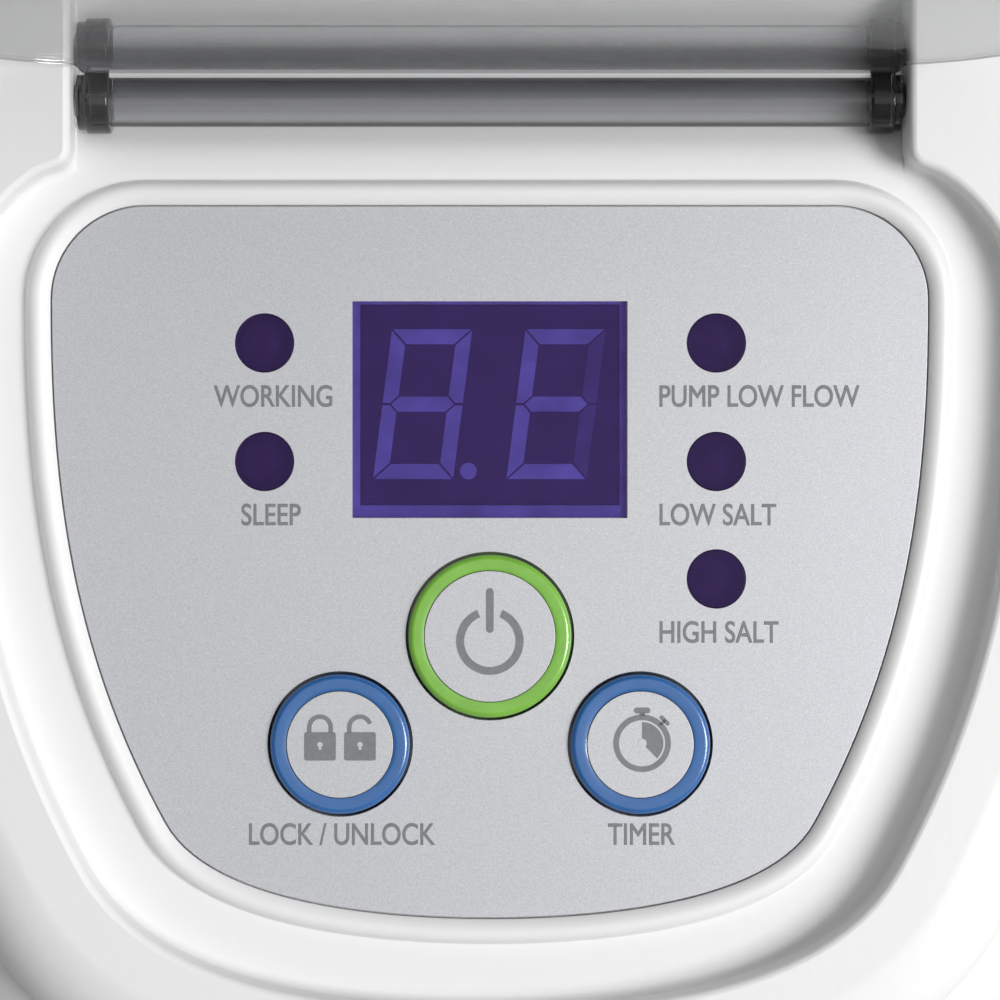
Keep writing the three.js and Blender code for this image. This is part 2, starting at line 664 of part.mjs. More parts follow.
function cellCover() {
  const { x, y } = CELL_FLANGE;
  const plate = boxSolid([-x, -y, GASKET_TOP + GAP], [x, y, COVER_TOP]);
  const rib = boxSolid([-x + 4, -2, COVER_TOP - 1], [x - 4, 2, COVER_TOP + 3]);
  const hangers = [-HANGER_X, HANGER_X].map((at) =>
    boxSolid([at - 3, -16, HANGER_FOOT], [at + 3, 16, GASKET_TOP + 1]));
  const [end, slack] = [PLATE.half + 1, PLATE.thick / 2 + GAP];
  const grooves = PLATE_PLACES.map((at) =>
    boxSolid([-end, at - slack, HANGER_FOOT - 1], [end, at + slack, PLATE.top + 1]));
  const posts = [-TERMINAL_X, TERMINAL_X].map((at) =>
    rodSolid('z', TERMINAL_R + GAP, PLATE.top, COVER_TOP + TERMINAL_RISE, [at, 0], 12));
  return cutAll(joinAll([plate, rib, ...hangers]), [...grooves, ...posts]);
}

const PLATE_PLACES = [-2, -1, 0, 1, 2].map((k) => k * PLATE_PITCH);
const plateGeometry = (y) => boxGeometry(
  [-PLATE.half, y - PLATE.thick / 2, PLATE.bottom],
  [PLATE.half, y + PLATE.thick / 2, PLATE.top],
);

function terminalGeometry(x) {
  const post = rodSolid('z', TERMINAL_R, PLATE.top + GAP, COVER_TOP + TERMINAL_RISE, [x, 0], 12);
  const nut = rodSolid('z', 5.5, COVER_TOP + 3 + GAP, COVER_TOP + 7, [x, 0], 6);
  return toGeometry(post.add(nut));
}

// A lead climbs from its terminal, round the back of the shelf, to the rear of the power board.
function leadGeometry(x) {
  const side = Math.sign(x);
  const start = COVER_TOP + TERMINAL_RISE + GAP;
  const route = new THREE.CatmullRomCurve3([
    new THREE.Vector3(x, 0, start),
    new THREE.Vector3(x, 1, start + 5),
    new THREE.Vector3(x, 14, SHELF_BOTTOM - 6),
    new THREE.Vector3(x, 34, SHELF_BOTTOM - 5),
    new THREE.Vector3(x + side, 48.5, SHELF_BOTTOM - 1),
    new THREE.Vector3(x + side * 3, 49.5, SHELF_BOTTOM + 6),
    new THREE.Vector3(x + side * 6, 40, SHELF_BOTTOM + 12),
    new THREE.Vector3(x + side * 6, BOARD_BACK + GAP + 0.1, SHELF_BOTTOM + 12),
  ]);
  const section = new THREE.Shape().absarc(0, 0, 1.6, 0, 2 * Math.PI, false);
  return new THREE.ExtrudeGeometry(section, {
    steps: 16,
    curveSegments: 3,
    bevelEnabled: false,
    extrudePath: route,
  });
}

const PADDLE_PIN_Z = CELL_HEIGHT + 19.5;

function sensorBody() {
  const foot = CELL_HEIGHT + 15;
  const seat = CELL_HEIGHT + SENSOR_BOSS_RISE + GAP;
  const plug = rodSolid('z', SENSOR_PLUG_R, foot, seat + 10 - GAP, [SENSOR_X, 0], 20);
  const flange = rodSolid('z', SENSOR_BOSS_R, seat, seat + 4 - GAP, [SENSOR_X, 0], 20);
  const slot = boxSolid([SENSOR_X - 9, -2.6, foot - 1], [SENSOR_X + 9, 2.6, PADDLE_PIN_Z + 5]);
  const pinHole = rodSolid('y', 1.3, -8, 8, [SENSOR_X, PADDLE_PIN_Z], 12);
  return cutAll(plug.add(flange), [slot, pinHole]);
}

function paddleGeometry() {
  const hub = rodSolid('y', 2.2, -2.2, 2.2, [0, 0], 12);
  const pin = rodSolid('y', 1, -7, 7, [0, 0], 12);
  const stalk = boxSolid([-0.75, -2.2, -16], [0.75, 2.2, 0]);
  const blade = boxSolid([-0.75, -8, -28], [0.75, 8, -12]);
  return toGeometry(joinAll([hub, pin, stalk, blade]));
}

// ---- hose unions, drawn for the +X side ----

const NUT_INNER = BASE_HALF_WIDTH + 4;
const NUT_OUTER = PORT_END + 11;
const NUT_RIBS = 10;
const NUT_R = 31;
const NUT_RIB_R = 33.5;
// One rib of the grip: share of the step round the nut, and radius.
const NUT_RIB = [[0, NUT_R], [0.3, NUT_R], [0.42, NUT_RIB_R], [0.58, NUT_RIB_R], [0.7, NUT_R]];

function unionNutGeometry() {
  const grip = new THREE.Shape();
  for (let k = 0; k < NUT_RIBS; k += 1) {
    const start = (k / NUT_RIBS) * 2 * Math.PI;
    const step = (2 * Math.PI) / NUT_RIBS;
    for (const [share, radius] of NUT_RIB) {
      const angle = start + share * step;
      const [y, z] = [radius * Math.cos(angle), radius * Math.sin(angle)];
      if (k === 0 && share === 0) grip.moveTo(y, z);
      else grip.lineTo(y, z);
    }
  }
  const body = new THREE.ExtrudeGeometry(grip, { depth: NUT_OUTER - NUT_INNER, bevelEnabled: false });
  sectionAlongX(body).translate(NUT_INNER, 0, 0);
  const thread = rodSolid('x', PORT_R + 0.5, NUT_INNER - 1, PORT_END + 5.8 + GAP, [0, 0], 28);
  const mouth = rodSolid('x', 19.6, NUT_INNER, NUT_OUTER + 1, [0, 0], 28);
  return toGeometry(cutAll(toSolid(body), [thread, mouth]));
}

function hoseTailGeometry() {
  const start = PORT_END + 1.8;
  const profile = [[16, start], [23.4, start], [23.4, start + 4], [19, start + 4]];
  for (let k = 0; k < 3; k += 1) {
    const x = start + 18 + k * 9;
    profile.push([18.4, x], [20, x + 1.5], [18.4, x + 8]);
  }
  profile.push([18.4, start + 47], [16, start + 47]);
  return turnedTube(profile, 20);
}

function sealGeometry() {
  const [inner, outer] = [PORT_BORE + 0.2, PORT_R - 1];
  const [near, far] = [PORT_END + GAP, PORT_END + 1.5];
  return turnedTube([[inner, near], [outer, near], [outer, far], [inner, far]], 16);
}

// ---- power parts on the shelf above the cell ----

function shelfGeometry() {
  const plate = boxSolid([-72, -44, SHELF_BOTTOM], [72, 44, SHELF_BOTTOM + SHELF_THICK]);
  const legs = [[-66, -38], [66, -38], [-66, 38], [66, 38]].map((at) =>
    rodSolid('z', 4, TRAY_FLOOR + GAP, SHELF_BOTTOM + 1, at, 10));
  return toGeometry(joinAll([plate, ...legs]));
}

const SHELF_TOP = SHELF_BOTTOM + SHELF_THICK + GAP;

function transformerGeometry() {
  const core = boxSolid([-64, -34, SHELF_TOP], [-22, 4, SHELF_TOP + 46]);
  const coil = boxSolid([-58, -40, SHELF_TOP + 9], [-28, 10, SHELF_TOP + 37]);
  return toGeometry(core.add(coil));
}

function heatSinkGeometry() {
  const [low, high] = [SHELF_TOP + 4, SHELF_TOP + 52];
  const front = BOARD_BACK + 3;
  const back = boxSolid([-34, front, low], [34, front + 3, high]);
  const fins = Array.from({ length: 8 }, (_, k) => {
    const x = -31.5 + k * 9;
    return boxSolid([x - 1, front + 2, low], [x + 1, front + 13, high]);
  });
  return toGeometry(joinAll([back, ...fins]));
}

const powerBoardGeometry = () =>
  boxGeometry([-44, BOARD_BACK - BOARD_THICK, SHELF_TOP], [44, BOARD_BACK, SHELF_TOP + 60]);

// ---- assembly ----

// The cable gland stands out at the back, so the model is moved forwards to centre its footprint.
const GLAND_REACH = 14;
const model = new THREE.Group();
model.position.y = -GLAND_REACH / 2;
const panel = new THREE.Group();
panel.position.copy(PANEL_CENTRE);
panel.rotation.x = PANEL_TILT;
model.add(panel);

function addMesh(parent, name, geometry, finish) {
  const mesh = new THREE.Mesh(geometry, finish);
  mesh.name = name;
  parent.add(mesh);
  return mesh;
}

addMesh(model, 'upper_housing', toGeometry(upperHousing()), WHITE);
addMesh(model, 'rear_cover', toGeometry(rearCover()), WHITE);
COVER_SCREWS.forEach((at, k) =>
  addMesh(model, `cover_screw_${k + 1}`, toGeometry(coverScrew(at)), STEEL));
addMesh(model, 'base_tray', toGeometry(baseTray()), GREY);
FOOT_PLACES.forEach(([x, y], k) =>
  addMesh(model, `foot_${k + 1}`, footGeometry(), RUBBER).position.set(x, y, 0));
addMesh(model, 'cable_gland', glandGeometry(), DARK);

addMesh(panel, 'panel_label', labelGeometry(), SILVER);
addMesh(panel, 'display_window', windowGeometry(), VIOLET);
addMesh(panel, 'display_module', moduleGeometry(), DARK);
addMesh(panel, 'control_board', boardGeometry(), BOARD);
for (const lamp of LAMPS) {
  addMesh(panel, `lamp_window_${lamp.name}`, lampWindowGeometry(lamp), VIOLET);
  addMesh(panel, `led_${lamp.name}`, ledGeometry(lamp), VIOLET);
}
for (const button of BUTTONS) {
  addMesh(panel, `${button.name}_button`, buttonCapGeometry(button), material(button.color, 0.25));
  addMesh(panel, `${button.name}_button_disc`, buttonDiscGeometry(button), SILVER);
  addMesh(panel, `${button.name}_switch`, switchGeometry(button), DARK);
}

const hinge = new THREE.Group();
hinge.position.set(0, HINGE_V, HINGE_H);
hinge.rotation.x = -LID_OPEN;
panel.add(hinge);
addMesh(hinge, 'lid', lidGeometry(), SMOKE);

addMesh(model, 'cell_body', toGeometry(cellBody()), GREY);
addMesh(model, 'cell_gasket', gasketGeometry(), RUBBER);
addMesh(model, 'cell_cover', toGeometry(cellCover()), DARK);
PLATE_PLACES.forEach((y, k) => addMesh(model, `electrode_plate_${k + 1}`, plateGeometry(y), TITANIUM));
addMesh(model, 'terminal_positive', terminalGeometry(-TERMINAL_X), STEEL);
addMesh(model, 'terminal_negative', terminalGeometry(TERMINAL_X), STEEL);
addMesh(model, 'flow_sensor', toGeometry(sensorBody()), DARK);
addMesh(model, 'flow_paddle', paddleGeometry(), GREY).position.set(SENSOR_X, 0, PADDLE_PIN_Z);

for (const [side, mirror] of [['right', (g) => g], ['left', mirroredX]]) {
  addMesh(model, `union_nut_${side}`, raised(mirror(unionNutGeometry())), DARK);
  addMesh(model, `hose_tail_${side}`, raised(mirror(hoseTailGeometry())), GREY);
  addMesh(model, `union_seal_${side}`, raised(mirror(sealGeometry())), RUBBER);
}

addMesh(model, 'cell_lead_positive', leadGeometry(-TERMINAL_X), material(0xa02822, 0.5));
addMesh(model, 'cell_lead_negative', leadGeometry(TERMINAL_X), DARK);
addMesh(model, 'electronics_shelf', shelfGeometry(), GREY);
addMesh(model, 'power_board', powerBoardGeometry(), BOARD);
addMesh(model, 'transformer', transformerGeometry(), STEEL);
addMesh(model, 'heat_sink', heatSinkGeometry(), STEEL);

export default model;
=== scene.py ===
"""Salt chlorine generator: the finished surfaces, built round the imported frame."""
import json
import math

import bmesh
import bpy
from mathutils import Matrix, Vector
from mathutils.geometry import interpolate_bezier


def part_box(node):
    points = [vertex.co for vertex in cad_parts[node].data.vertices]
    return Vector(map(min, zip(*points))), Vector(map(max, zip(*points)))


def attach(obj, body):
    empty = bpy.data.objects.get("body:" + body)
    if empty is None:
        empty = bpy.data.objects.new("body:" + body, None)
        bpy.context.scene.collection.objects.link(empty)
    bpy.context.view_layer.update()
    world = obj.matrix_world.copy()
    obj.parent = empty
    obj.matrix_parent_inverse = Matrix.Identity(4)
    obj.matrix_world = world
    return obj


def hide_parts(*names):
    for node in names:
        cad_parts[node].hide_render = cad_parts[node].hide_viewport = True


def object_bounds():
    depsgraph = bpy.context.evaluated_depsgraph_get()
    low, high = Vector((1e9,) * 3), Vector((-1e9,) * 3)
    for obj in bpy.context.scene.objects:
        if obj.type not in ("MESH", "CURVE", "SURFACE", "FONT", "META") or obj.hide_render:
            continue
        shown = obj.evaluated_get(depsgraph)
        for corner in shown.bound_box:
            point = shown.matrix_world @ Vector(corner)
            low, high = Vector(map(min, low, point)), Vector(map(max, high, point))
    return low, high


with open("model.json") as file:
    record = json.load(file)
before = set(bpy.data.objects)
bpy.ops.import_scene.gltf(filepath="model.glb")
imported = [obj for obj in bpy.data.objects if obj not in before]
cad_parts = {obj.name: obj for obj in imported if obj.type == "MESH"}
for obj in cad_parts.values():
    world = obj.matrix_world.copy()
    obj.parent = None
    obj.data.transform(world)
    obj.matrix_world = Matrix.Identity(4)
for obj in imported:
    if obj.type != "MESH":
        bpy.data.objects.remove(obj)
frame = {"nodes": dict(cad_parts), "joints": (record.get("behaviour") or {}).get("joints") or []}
cad_low, cad_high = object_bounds()
scene = bpy.context.scene
JOINTS = {joint["name"]: joint for joint in frame["joints"]}

# ---- the panel's own frame, in millimetres: u to the right, v up the slope, h out of the face ----

MM = 0.001
LABEL_FACE = -4.0
LABEL_THICK = 0.5
OUT = -Vector(JOINTS["power_press"]["axis"])
RIGHT = Vector((1, 0, 0))
UP = OUT.cross(RIGHT)
label_low, label_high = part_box("panel_label")
LABEL_CENTRE = (label_low + label_high) / 2
PANEL_ORIGIN = LABEL_CENTRE - OUT * (LABEL_FACE - LABEL_THICK / 2) * MM


def frame_matrix(origin, x_axis, y_axis, z_axis):
    """Millimetres in a turned frame to metres in the row frame."""
    turn = Matrix((x_axis, y_axis, z_axis)).transposed().to_4x4()
    return Matrix.Translation(origin) @ turn @ Matrix.Scale(MM, 4)


PANEL = frame_matrix(PANEL_ORIGIN, RIGHT, UP, OUT)
ROW = Matrix.Scale(MM, 4)


def panel_place(point):
    """u, v and h in millimetres of a point of the row frame."""
    return PANEL.inverted() @ point


# ---- camera and lights ----

CAMERA_DISTANCE = 300 * MM
FRAME_WIDTH = 94.5 * MM
SENSOR = 36.0


def add_camera():
    data = bpy.data.cameras.new("panel_camera")
    data.sensor_width = SENSOR
    data.lens = SENSOR * CAMERA_DISTANCE / FRAME_WIDTH
    data.clip_start = 0.01
    camera = bpy.data.objects.new("panel_camera", data)
    target = PANEL @ Vector((0.95, 5.86, LABEL_FACE))
    turn = Matrix((RIGHT, UP, OUT)).transposed().to_4x4()
    camera.matrix_world = Matrix.Translation(target + OUT * CAMERA_DISTANCE) @ turn
    scene.collection.objects.link(camera)
    scene.camera = camera


def add_softbox(name, direction, distance, size, watts):
    """A soft lamp in a direction of the panel's frame, aimed at the label."""
    data = bpy.data.lights.new(name, "AREA")
    data.shape = "RECTANGLE"
    data.size, data.size_y = size
    data.energy = watts
    aim = (RIGHT * direction[0] + UP * direction[1] + OUT * direction[2]).normalized()
    lamp = bpy.data.objects.new(name, data)
    lamp.rotation_euler = aim.to_track_quat("Z", "Y").to_euler()
    lamp.location = LABEL_CENTRE + aim * distance
    scene.collection.objects.link(lamp)


def add_world():
    """A soft surround: bright on the right, dim on the left and behind."""
    world = bpy.data.worlds.new("studio")
    world.use_nodes = True
    tree = world.node_tree
    sky = tree.nodes["Background"]
    sky.inputs["Color"].default_value = (0.97, 0.98, 1.0, 1)
    place = tree.nodes.new("ShaderNodeTexCoord")
    slope = tree.nodes.new("ShaderNodeVectorMath")
    slope.operation = "DOT_PRODUCT"
    slope.inputs[1].default_value = (RIGHT * 0.85 + OUT * 0.45 - UP * 0.25).normalized()
    level = tree.nodes.new("ShaderNodeMapRange")
    for key, value in (("From Min", -0.5), ("From Max", 0.8), ("To Min", 0.08), ("To Max", 0.40)):
        level.inputs[key].default_value = value
    tree.links.new(place.outputs["Generated"], slope.inputs[0])
    tree.links.new(slope.outputs["Value"], level.inputs["Value"])
    tree.links.new(level.outputs["Result"], sky.inputs["Strength"])
    scene.world = world


def add_lights():
    add_softbox("key_softbox", (0.62, -0.08, 0.76), 0.9, (0.34, 0.4), 6.6)
    add_softbox("top_softbox", (0.1, 0.1, 1.0), 1.2, (1.0, 1.0), 2.0)
    add_world()
    scene.view_settings.view_transform = "Standard"


def add_floor():
    bm = bmesh.new()
    bmesh.ops.create_grid(bm, x_segments=1, y_segments=1, size=3.0)
    bmesh.ops.translate(bm, verts=bm.verts, vec=(0, 0, cad_low.z - 0.0002))
    mesh = bpy.data.meshes.new("floor")
    bm.to_mesh(mesh)
    bm.free()
    floor = bpy.data.objects.new("floor", mesh)
    scene.collection.objects.link(floor)
    floor.data.materials.append(plain("floor_pale", (0.80, 0.80, 0.79), 0.6))


# ---- materials ----


class Recipe:
    """A material under construction: a Principled shader and nodes on Object coordinates."""

    def __init__(self, name):
        self.material = bpy.data.materials.new(name)
        self.material.use_nodes = True
        self.tree = self.material.node_tree
        self.shader = self.tree.nodes["Principled BSDF"]
        self.output = self.tree.nodes["Material Output"]
        self.place = self.tree.nodes.new("ShaderNodeTexCoord").outputs["Object"]

    def node(self, kind, **values):
        made = self.tree.nodes.new(kind)
        for key, value in values.items():
            setattr(made, key, value)
        return made

    def link(self, source, target):
        self.tree.links.new(source, target)

    def set(self, **values):
        for key, value in values.items():
            self.shader.inputs[key.replace("_", " ")].default_value = value

    def noise(self, per_mm, detail=2.0, stretch=(1, 1, 1), roughness=0.5):
        turn = self.node("ShaderNodeMapping")
        turn.inputs["Scale"].default_value = [s * per_mm / MM for s in stretch]
        self.link(self.place, turn.inputs["Vector"])
        made = self.node("ShaderNodeTexNoise")
        made.inputs["Scale"].default_value = 1.0
        made.inputs["Detail"].default_value = detail
        made.inputs["Roughness"].default_value = roughness
        self.link(turn.outputs["Vector"], made.inputs["Vector"])
        return made.outputs["Fac"]

    def ramp(self, source, *stops):
        made = self.node("ShaderNodeValToRGB")
        bar = made.color_ramp
        while len(bar.elements) < len(stops):
            bar.elements.new(0.5)
        for element, (at, colour) in zip(bar.elements, stops):
            element.position = at
            element.color = (*colour, 1)
        self.link(source, made.inputs["Fac"])
        return made.outputs["Color"]

    def span(self, source, low, high, start=0.3, end=0.7):
        """A value that runs from low to high as the source runs from start to end."""
        made = self.node("ShaderNodeMapRange")
        for key, value in (("From Min", start), ("From Max", end), ("To Min", low), ("To Max", high)):
            made.inputs[key].default_value = value
        self.link(source, made.inputs["Value"])
        return made.outputs["Result"]

    def vector(self, operation, source, value=None):
        """One vector step: its result is a number for a length or a dot product."""
        made = self.node("ShaderNodeVectorMath", operation=operation)
        self.link(source, made.inputs[0])
        if value is not None:
            made.inputs[1].default_value = value
        return made.outputs["Value" if operation in ("LENGTH", "DOT_PRODUCT") else "Vector"]

    def mix(self, factor, first, second):
        made = self.node("ShaderNodeMix", data_type="RGBA")
        sockets = (made.inputs["Factor"], made.inputs[6], made.inputs[7])
        for socket, value in zip(sockets, (factor, first, second)):
            if isinstance(value, (int, float)):
                socket.default_value = value
            elif isinstance(value, tuple):
                socket.default_value = (*value, 1)
            else:
                self.link(value, socket)
        return made.outputs[2]

    def bump(self, source, depth_mm):
        made = self.node("ShaderNodeBump")
        made.inputs["Strength"].default_value = 1.0
        made.inputs["Distance"].default_value = depth_mm * MM
        self.link(source, made.inputs["Height"])
        self.link(made.outputs["Normal"], self.shader.inputs["Normal"])

    def colour(self, source):
        self.link(source, self.shader.inputs["Base Color"])

    def rough(self, source):
        self.link(source, self.shader.inputs["Roughness"])


def shade(colour, factor):
    return tuple(channel * factor for channel in colour)


def plain(name, colour, roughness, grain_per_mm=0.02, spread=0.03, metallic=0.0):
    """A plain finish with a faint drift of tone and roughness."""
    recipe = Recipe(name)
    drift = recipe.noise(grain_per_mm)
    recipe.colour(recipe.ramp(drift, (0.3, shade(colour, 1 - spread)), (0.7, shade(colour, 1 + spread))))
    recipe.rough(recipe.span(drift, roughness * 0.9, roughness * 1.1))
    recipe.set(Metallic=metallic)
    return recipe.material


def moulded(name, colour, roughness, grain_per_mm=1.1, grain_depth=0.02, wear=0.03):
    """Moulded plastic: orange-peel grain, a drift of tone and hairline handling marks."""
    recipe = Recipe(name)
    drift = recipe.noise(0.03, detail=3.0)
    base = recipe.ramp(drift, (0.3, shade(colour, 0.985)), (0.7, shade(colour, 1.01)))
    marks = recipe.noise(0.5, detail=8.0, stretch=(0.25, 3.0, 1.0), roughness=0.75)
    worn = recipe.ramp(marks, (0.70, (0, 0, 0)), (0.74, (1, 1, 1)))
    recipe.colour(recipe.mix(worn, base, shade(colour, 1 - wear)))
    grain = recipe.noise(grain_per_mm, detail=2.5)
    recipe.rough(recipe.span(grain, roughness * 0.85, roughness * 1.15))
    recipe.bump(grain, grain_depth)
    return recipe.material


def metal(name, colour, roughness, stretch=(1, 1, 12)):
    """Metal with fine drawn lines."""
    recipe = Recipe(name)
    lines = recipe.noise(0.8, detail=3.0, stretch=stretch)
    recipe.colour(recipe.ramp(lines, (0.3, shade(colour, 0.9)), (0.7, shade(colour, 1.05))))
    recipe.rough(recipe.span(lines, roughness * 0.8, roughness * 1.2))
    recipe.bump(lines, 0.01)
    recipe.set(Metallic=1.0)
    return recipe.material


def silver_film(name="silver_film"):
    """Printed film: a fine metallic flake under a satin surface, with the flake's sparkle painted in as
    bright glint specks.
    """
    recipe = Recipe(name)
    flake = recipe.noise(6.5, detail=1.5, roughness=0.6)
    fine = recipe.noise(13.0, detail=1.0)
    tone = recipe.ramp(flake, (0.32, (0.51, 0.515, 0.54)), (0.68, (0.61, 0.615, 0.64)))
    # real metallic flake, its sparkle painted into the colour as bright glint specks
    flake_and_painted_glint = recipe.ramp(fine, (0.62, (0, 0, 0)), (0.80, (1, 1, 1)))
    recipe.colour(recipe.mix(flake_and_painted_glint, tone, (0.80, 0.81, 0.83)))
    recipe.rough(recipe.span(flake, 0.40, 0.52))
    recipe.bump(flake, 0.006)
    recipe.set(Metallic=0.35)
    return recipe.material


def tinted_filter(name, through, body):
    """A tinted film: it colours what lies behind it, with a body colour and a satin gloss of its own."""
    recipe = Recipe(name)
    drift = recipe.noise(0.35, detail=3.0)
    specks = recipe.noise(4.0, detail=2.0)
    clear = recipe.node("ShaderNodeBsdfTransparent")
    tint = recipe.ramp(drift, (0.3, shade(through, 0.92)), (0.7, shade(through, 1.06)))
    recipe.link(tint, clear.inputs["Color"])
    dye = recipe.node("ShaderNodeBsdfDiffuse")
    shown = recipe.ramp(specks, (0.35, shade(body, 0.85)), (0.7, shade(body, 1.15)))
    recipe.link(shown, dye.inputs["Color"])
    film = recipe.node("ShaderNodeMixShader")
    film.inputs["Fac"].default_value = 0.2
    recipe.link(clear.outputs["BSDF"], film.inputs[1])
    recipe.link(dye.outputs["BSDF"], film.inputs[2])
    gloss = recipe.node("ShaderNodeBsdfGlossy")
    gloss.inputs["Roughness"].default_value = 0.28
    both = recipe.node("ShaderNodeMixShader")
    both.inputs["Fac"].default_value = 0.016
    recipe.link(film.outputs["Shader"], both.inputs[1])
    recipe.link(gloss.outputs["BSDF"], both.inputs[2])
    recipe.tree.nodes.remove(recipe.shader)
    recipe.link(both.outputs["Shader"], recipe.output.inputs["Surface"])
    return recipe.material


RIDGE_AT = (2.45, 1.35)  # up the panel and out of it, from the barrel's axis, with the lid at rest
RIDGE_R = 0.55


def smoky_clear(name="smoky_clear"):
    """Polished smoky plastic: darker in its thick collars; across the barrel, painted bands of shade and
    highlight; along the ridge, a painted highlight, light in colour and less clear.
    """
    recipe = Recipe(name)
    drift = recipe.noise(0.06, detail=3.0)
    sheet = recipe.ramp(drift, (0.3, (0.42, 0.425, 0.43)), (0.7, (0.47, 0.475, 0.48)))
    reach = recipe.vector("SUBTRACT", recipe.place, JOINTS["lid_hinge"]["pos_m"])
    across = recipe.vector("MULTIPLY", reach, (0, 1, 1))
    from_axis = recipe.vector("LENGTH", across)
    thin = recipe.span(from_axis, 0.0, 1.0, 3.2 * MM, 4.0 * MM)
    thick = recipe.span(from_axis, 0.0, 1.0, 2.55 * MM, 2.75 * MM)
    height = recipe.vector("DOT_PRODUCT", reach, UP)
    # painted light and shade: across the barrel's height, dark painted shade at its foot and top with a
    # bright painted highlight band between them
    barrel_painted_bands = recipe.ramp(
        recipe.span(height, 0.0, 1.0, -2.6 * MM, 2.6 * MM),
        (0.05, (0.05, 0.051, 0.052)), (0.11, (0.95, 0.952, 0.955)), (0.29, (0.95, 0.952, 0.955)),
        (0.5, (0.22, 0.222, 0.225)), (0.85, (0.055, 0.056, 0.058)),
    )
    # painted highlight: the ridge gets a light colour and less clearness, standing in for the bright line
    # of light along it
    ridge = UP * RIDGE_AT[0] * MM + OUT * RIDGE_AT[1] * MM
    from_ridge = recipe.vector("LENGTH", recipe.vector("SUBTRACT", across, ridge))
    off_ridge_highlight = recipe.span(from_ridge, 0.0, 1.0, 0.56 * MM, 0.62 * MM)
    # one colour from the sheet's real smoky tint, the darker thick collars and the painted light and shade
    # bands of the barrel
    tint = recipe.mix(thin, recipe.mix(thick, barrel_painted_bands, (0.08, 0.081, 0.083)), sheet)
    # the light ridge colour is a painted highlight
    recipe.colour(recipe.mix(off_ridge_highlight, (0.82, 0.822, 0.825), tint))
    scuffs = recipe.noise(0.6, detail=6.0, stretch=(0.4, 2.5, 2.5), roughness=0.7)
    recipe.rough(recipe.span(scuffs, 0.0, 0.03, 0.6, 0.85))
    recipe.set(Transmission_Weight=1.0, IOR=1.5)
    recipe.link(recipe.span(off_ridge_highlight, 0.25, 1.0), recipe.shader.inputs["Transmission Weight"])
    veil = recipe.node("ShaderNodeBsdfTransparent")
    veil.inputs["Color"].default_value = (0.6, 0.6, 0.61, 1)
    path = recipe.node("ShaderNodeLightPath")
    both = recipe.node("ShaderNodeMixShader")
    recipe.link(path.outputs["Is Shadow Ray"], both.inputs["Fac"])
    recipe.link(recipe.shader.outputs["BSDF"], both.inputs[1])
    recipe.link(veil.outputs["BSDF"], both.inputs[2])
    recipe.link(both.outputs["Shader"], recipe.output.inputs["Surface"])
    return recipe.material


def glossy_ring(name, colour):
    """Glossy coloured plastic with a clear coat."""
    recipe = Recipe(name)
    drift = recipe.noise(0.5, detail=3.0)
    recipe.colour(recipe.ramp(drift, (0.3, shade(colour, 0.93)), (0.7, shade(colour, 1.07))))
    recipe.rough(recipe.span(drift, 0.30, 0.40))
    recipe.set(Coat_Weight=1.0, Coat_Roughness=0.03)
    return recipe.material


WHITE = moulded("moulded_white", (0.83, 0.83, 0.825), 0.45)
TRAY_GREY = moulded("moulded_grey", (0.30, 0.32, 0.34), 0.5, grain_depth=0.03)
FITTING_GREY = moulded("fitting_grey", (0.50, 0.52, 0.54), 0.45)
FITTING_DARK = moulded("fitting_charcoal", (0.06, 0.065, 0.07), 0.45, wear=-0.4)
RUBBER = moulded("soft_rubber", (0.025, 0.025, 0.025), 0.8, grain_per_mm=2.0, wear=-0.5)
SILVER = silver_film()
INK = plain("grey_ink", (0.20, 0.205, 0.215), 0.5, grain_per_mm=2.0, spread=0.08)
VIOLET = tinted_filter("violet_filter", (0.605, 0.578, 0.872), (0.098, 0.034, 0.25))
LAMP_VIOLET = tinted_filter("violet_lamp_filter", (0.43, 0.37, 0.54), (0.085, 0.025, 0.24))
SMOKE = smoky_clear()
GREEN = glossy_ring("ring_green", (0.185, 0.47, 0.035))
BLUE = glossy_ring("ring_blue", (0.012, 0.115, 0.36))
MODULE_BLACK = moulded("module_black", (0.040, 0.022, 0.045), 0.5)
SEGMENT_GREY = plain("segment_grey", (0.92, 0.92, 0.92), 0.5)
SEGMENT_FAINT = plain("segment_faint", (0.26, 0.24, 0.28), 0.5)
EPOXY = plain("led_epoxy", (0.42, 0.40, 0.46), 0.15, grain_per_mm=0.6, spread=0.15)
BOARD = plain("solder_mask", (0.02, 0.13, 0.05), 0.4, grain_per_mm=0.3, spread=0.2)
STEEL = metal("stainless", (0.62, 0.62, 0.63), 0.28)
TITANIUM = metal("coated_titanium", (0.20, 0.19, 0.18), 0.5)
ALUMINIUM = metal("extruded_aluminium", (0.72, 0.73, 0.74), 0.35)
IRON = metal("varnished_laminations", (0.16, 0.15, 0.15), 0.45, stretch=(12, 1, 1))
WIRE_RED = plain("wire_red", (0.42, 0.02, 0.02), 0.45, spread=0.1)
WIRE_BLACK = plain("wire_black", (0.03, 0.03, 0.03), 0.45, spread=0.1)


# ---- mesh tools, all in millimetres until they are placed ----


def add_loop(bm, points):
    verts = [bm.verts.new(point) for point in points]
    return [bm.edges.new(pair) for pair in zip(verts, verts[1:] + verts[:1])]


def loft(rings, capped=True):
    """A skin over rings of equal point count, closed by its first and last ring or into a loop."""
    bm = bmesh.new()
    loops = [add_loop(bm, ring) for ring in rings]
    pairs = list(zip(loops, loops[1:]))
    if not capped:
        pairs.append((loops[-1], loops[0]))
    for low, high in pairs:
        bmesh.ops.bridge_loops(bm, edges=low + high)
    if capped:
        bmesh.ops.edgeloop_fill(bm, edges=loops[0])
        bmesh.ops.edgeloop_fill(bm, edges=loops[-1])
    bmesh.ops.recalc_face_normals(bm, faces=bm.faces)
    return bm


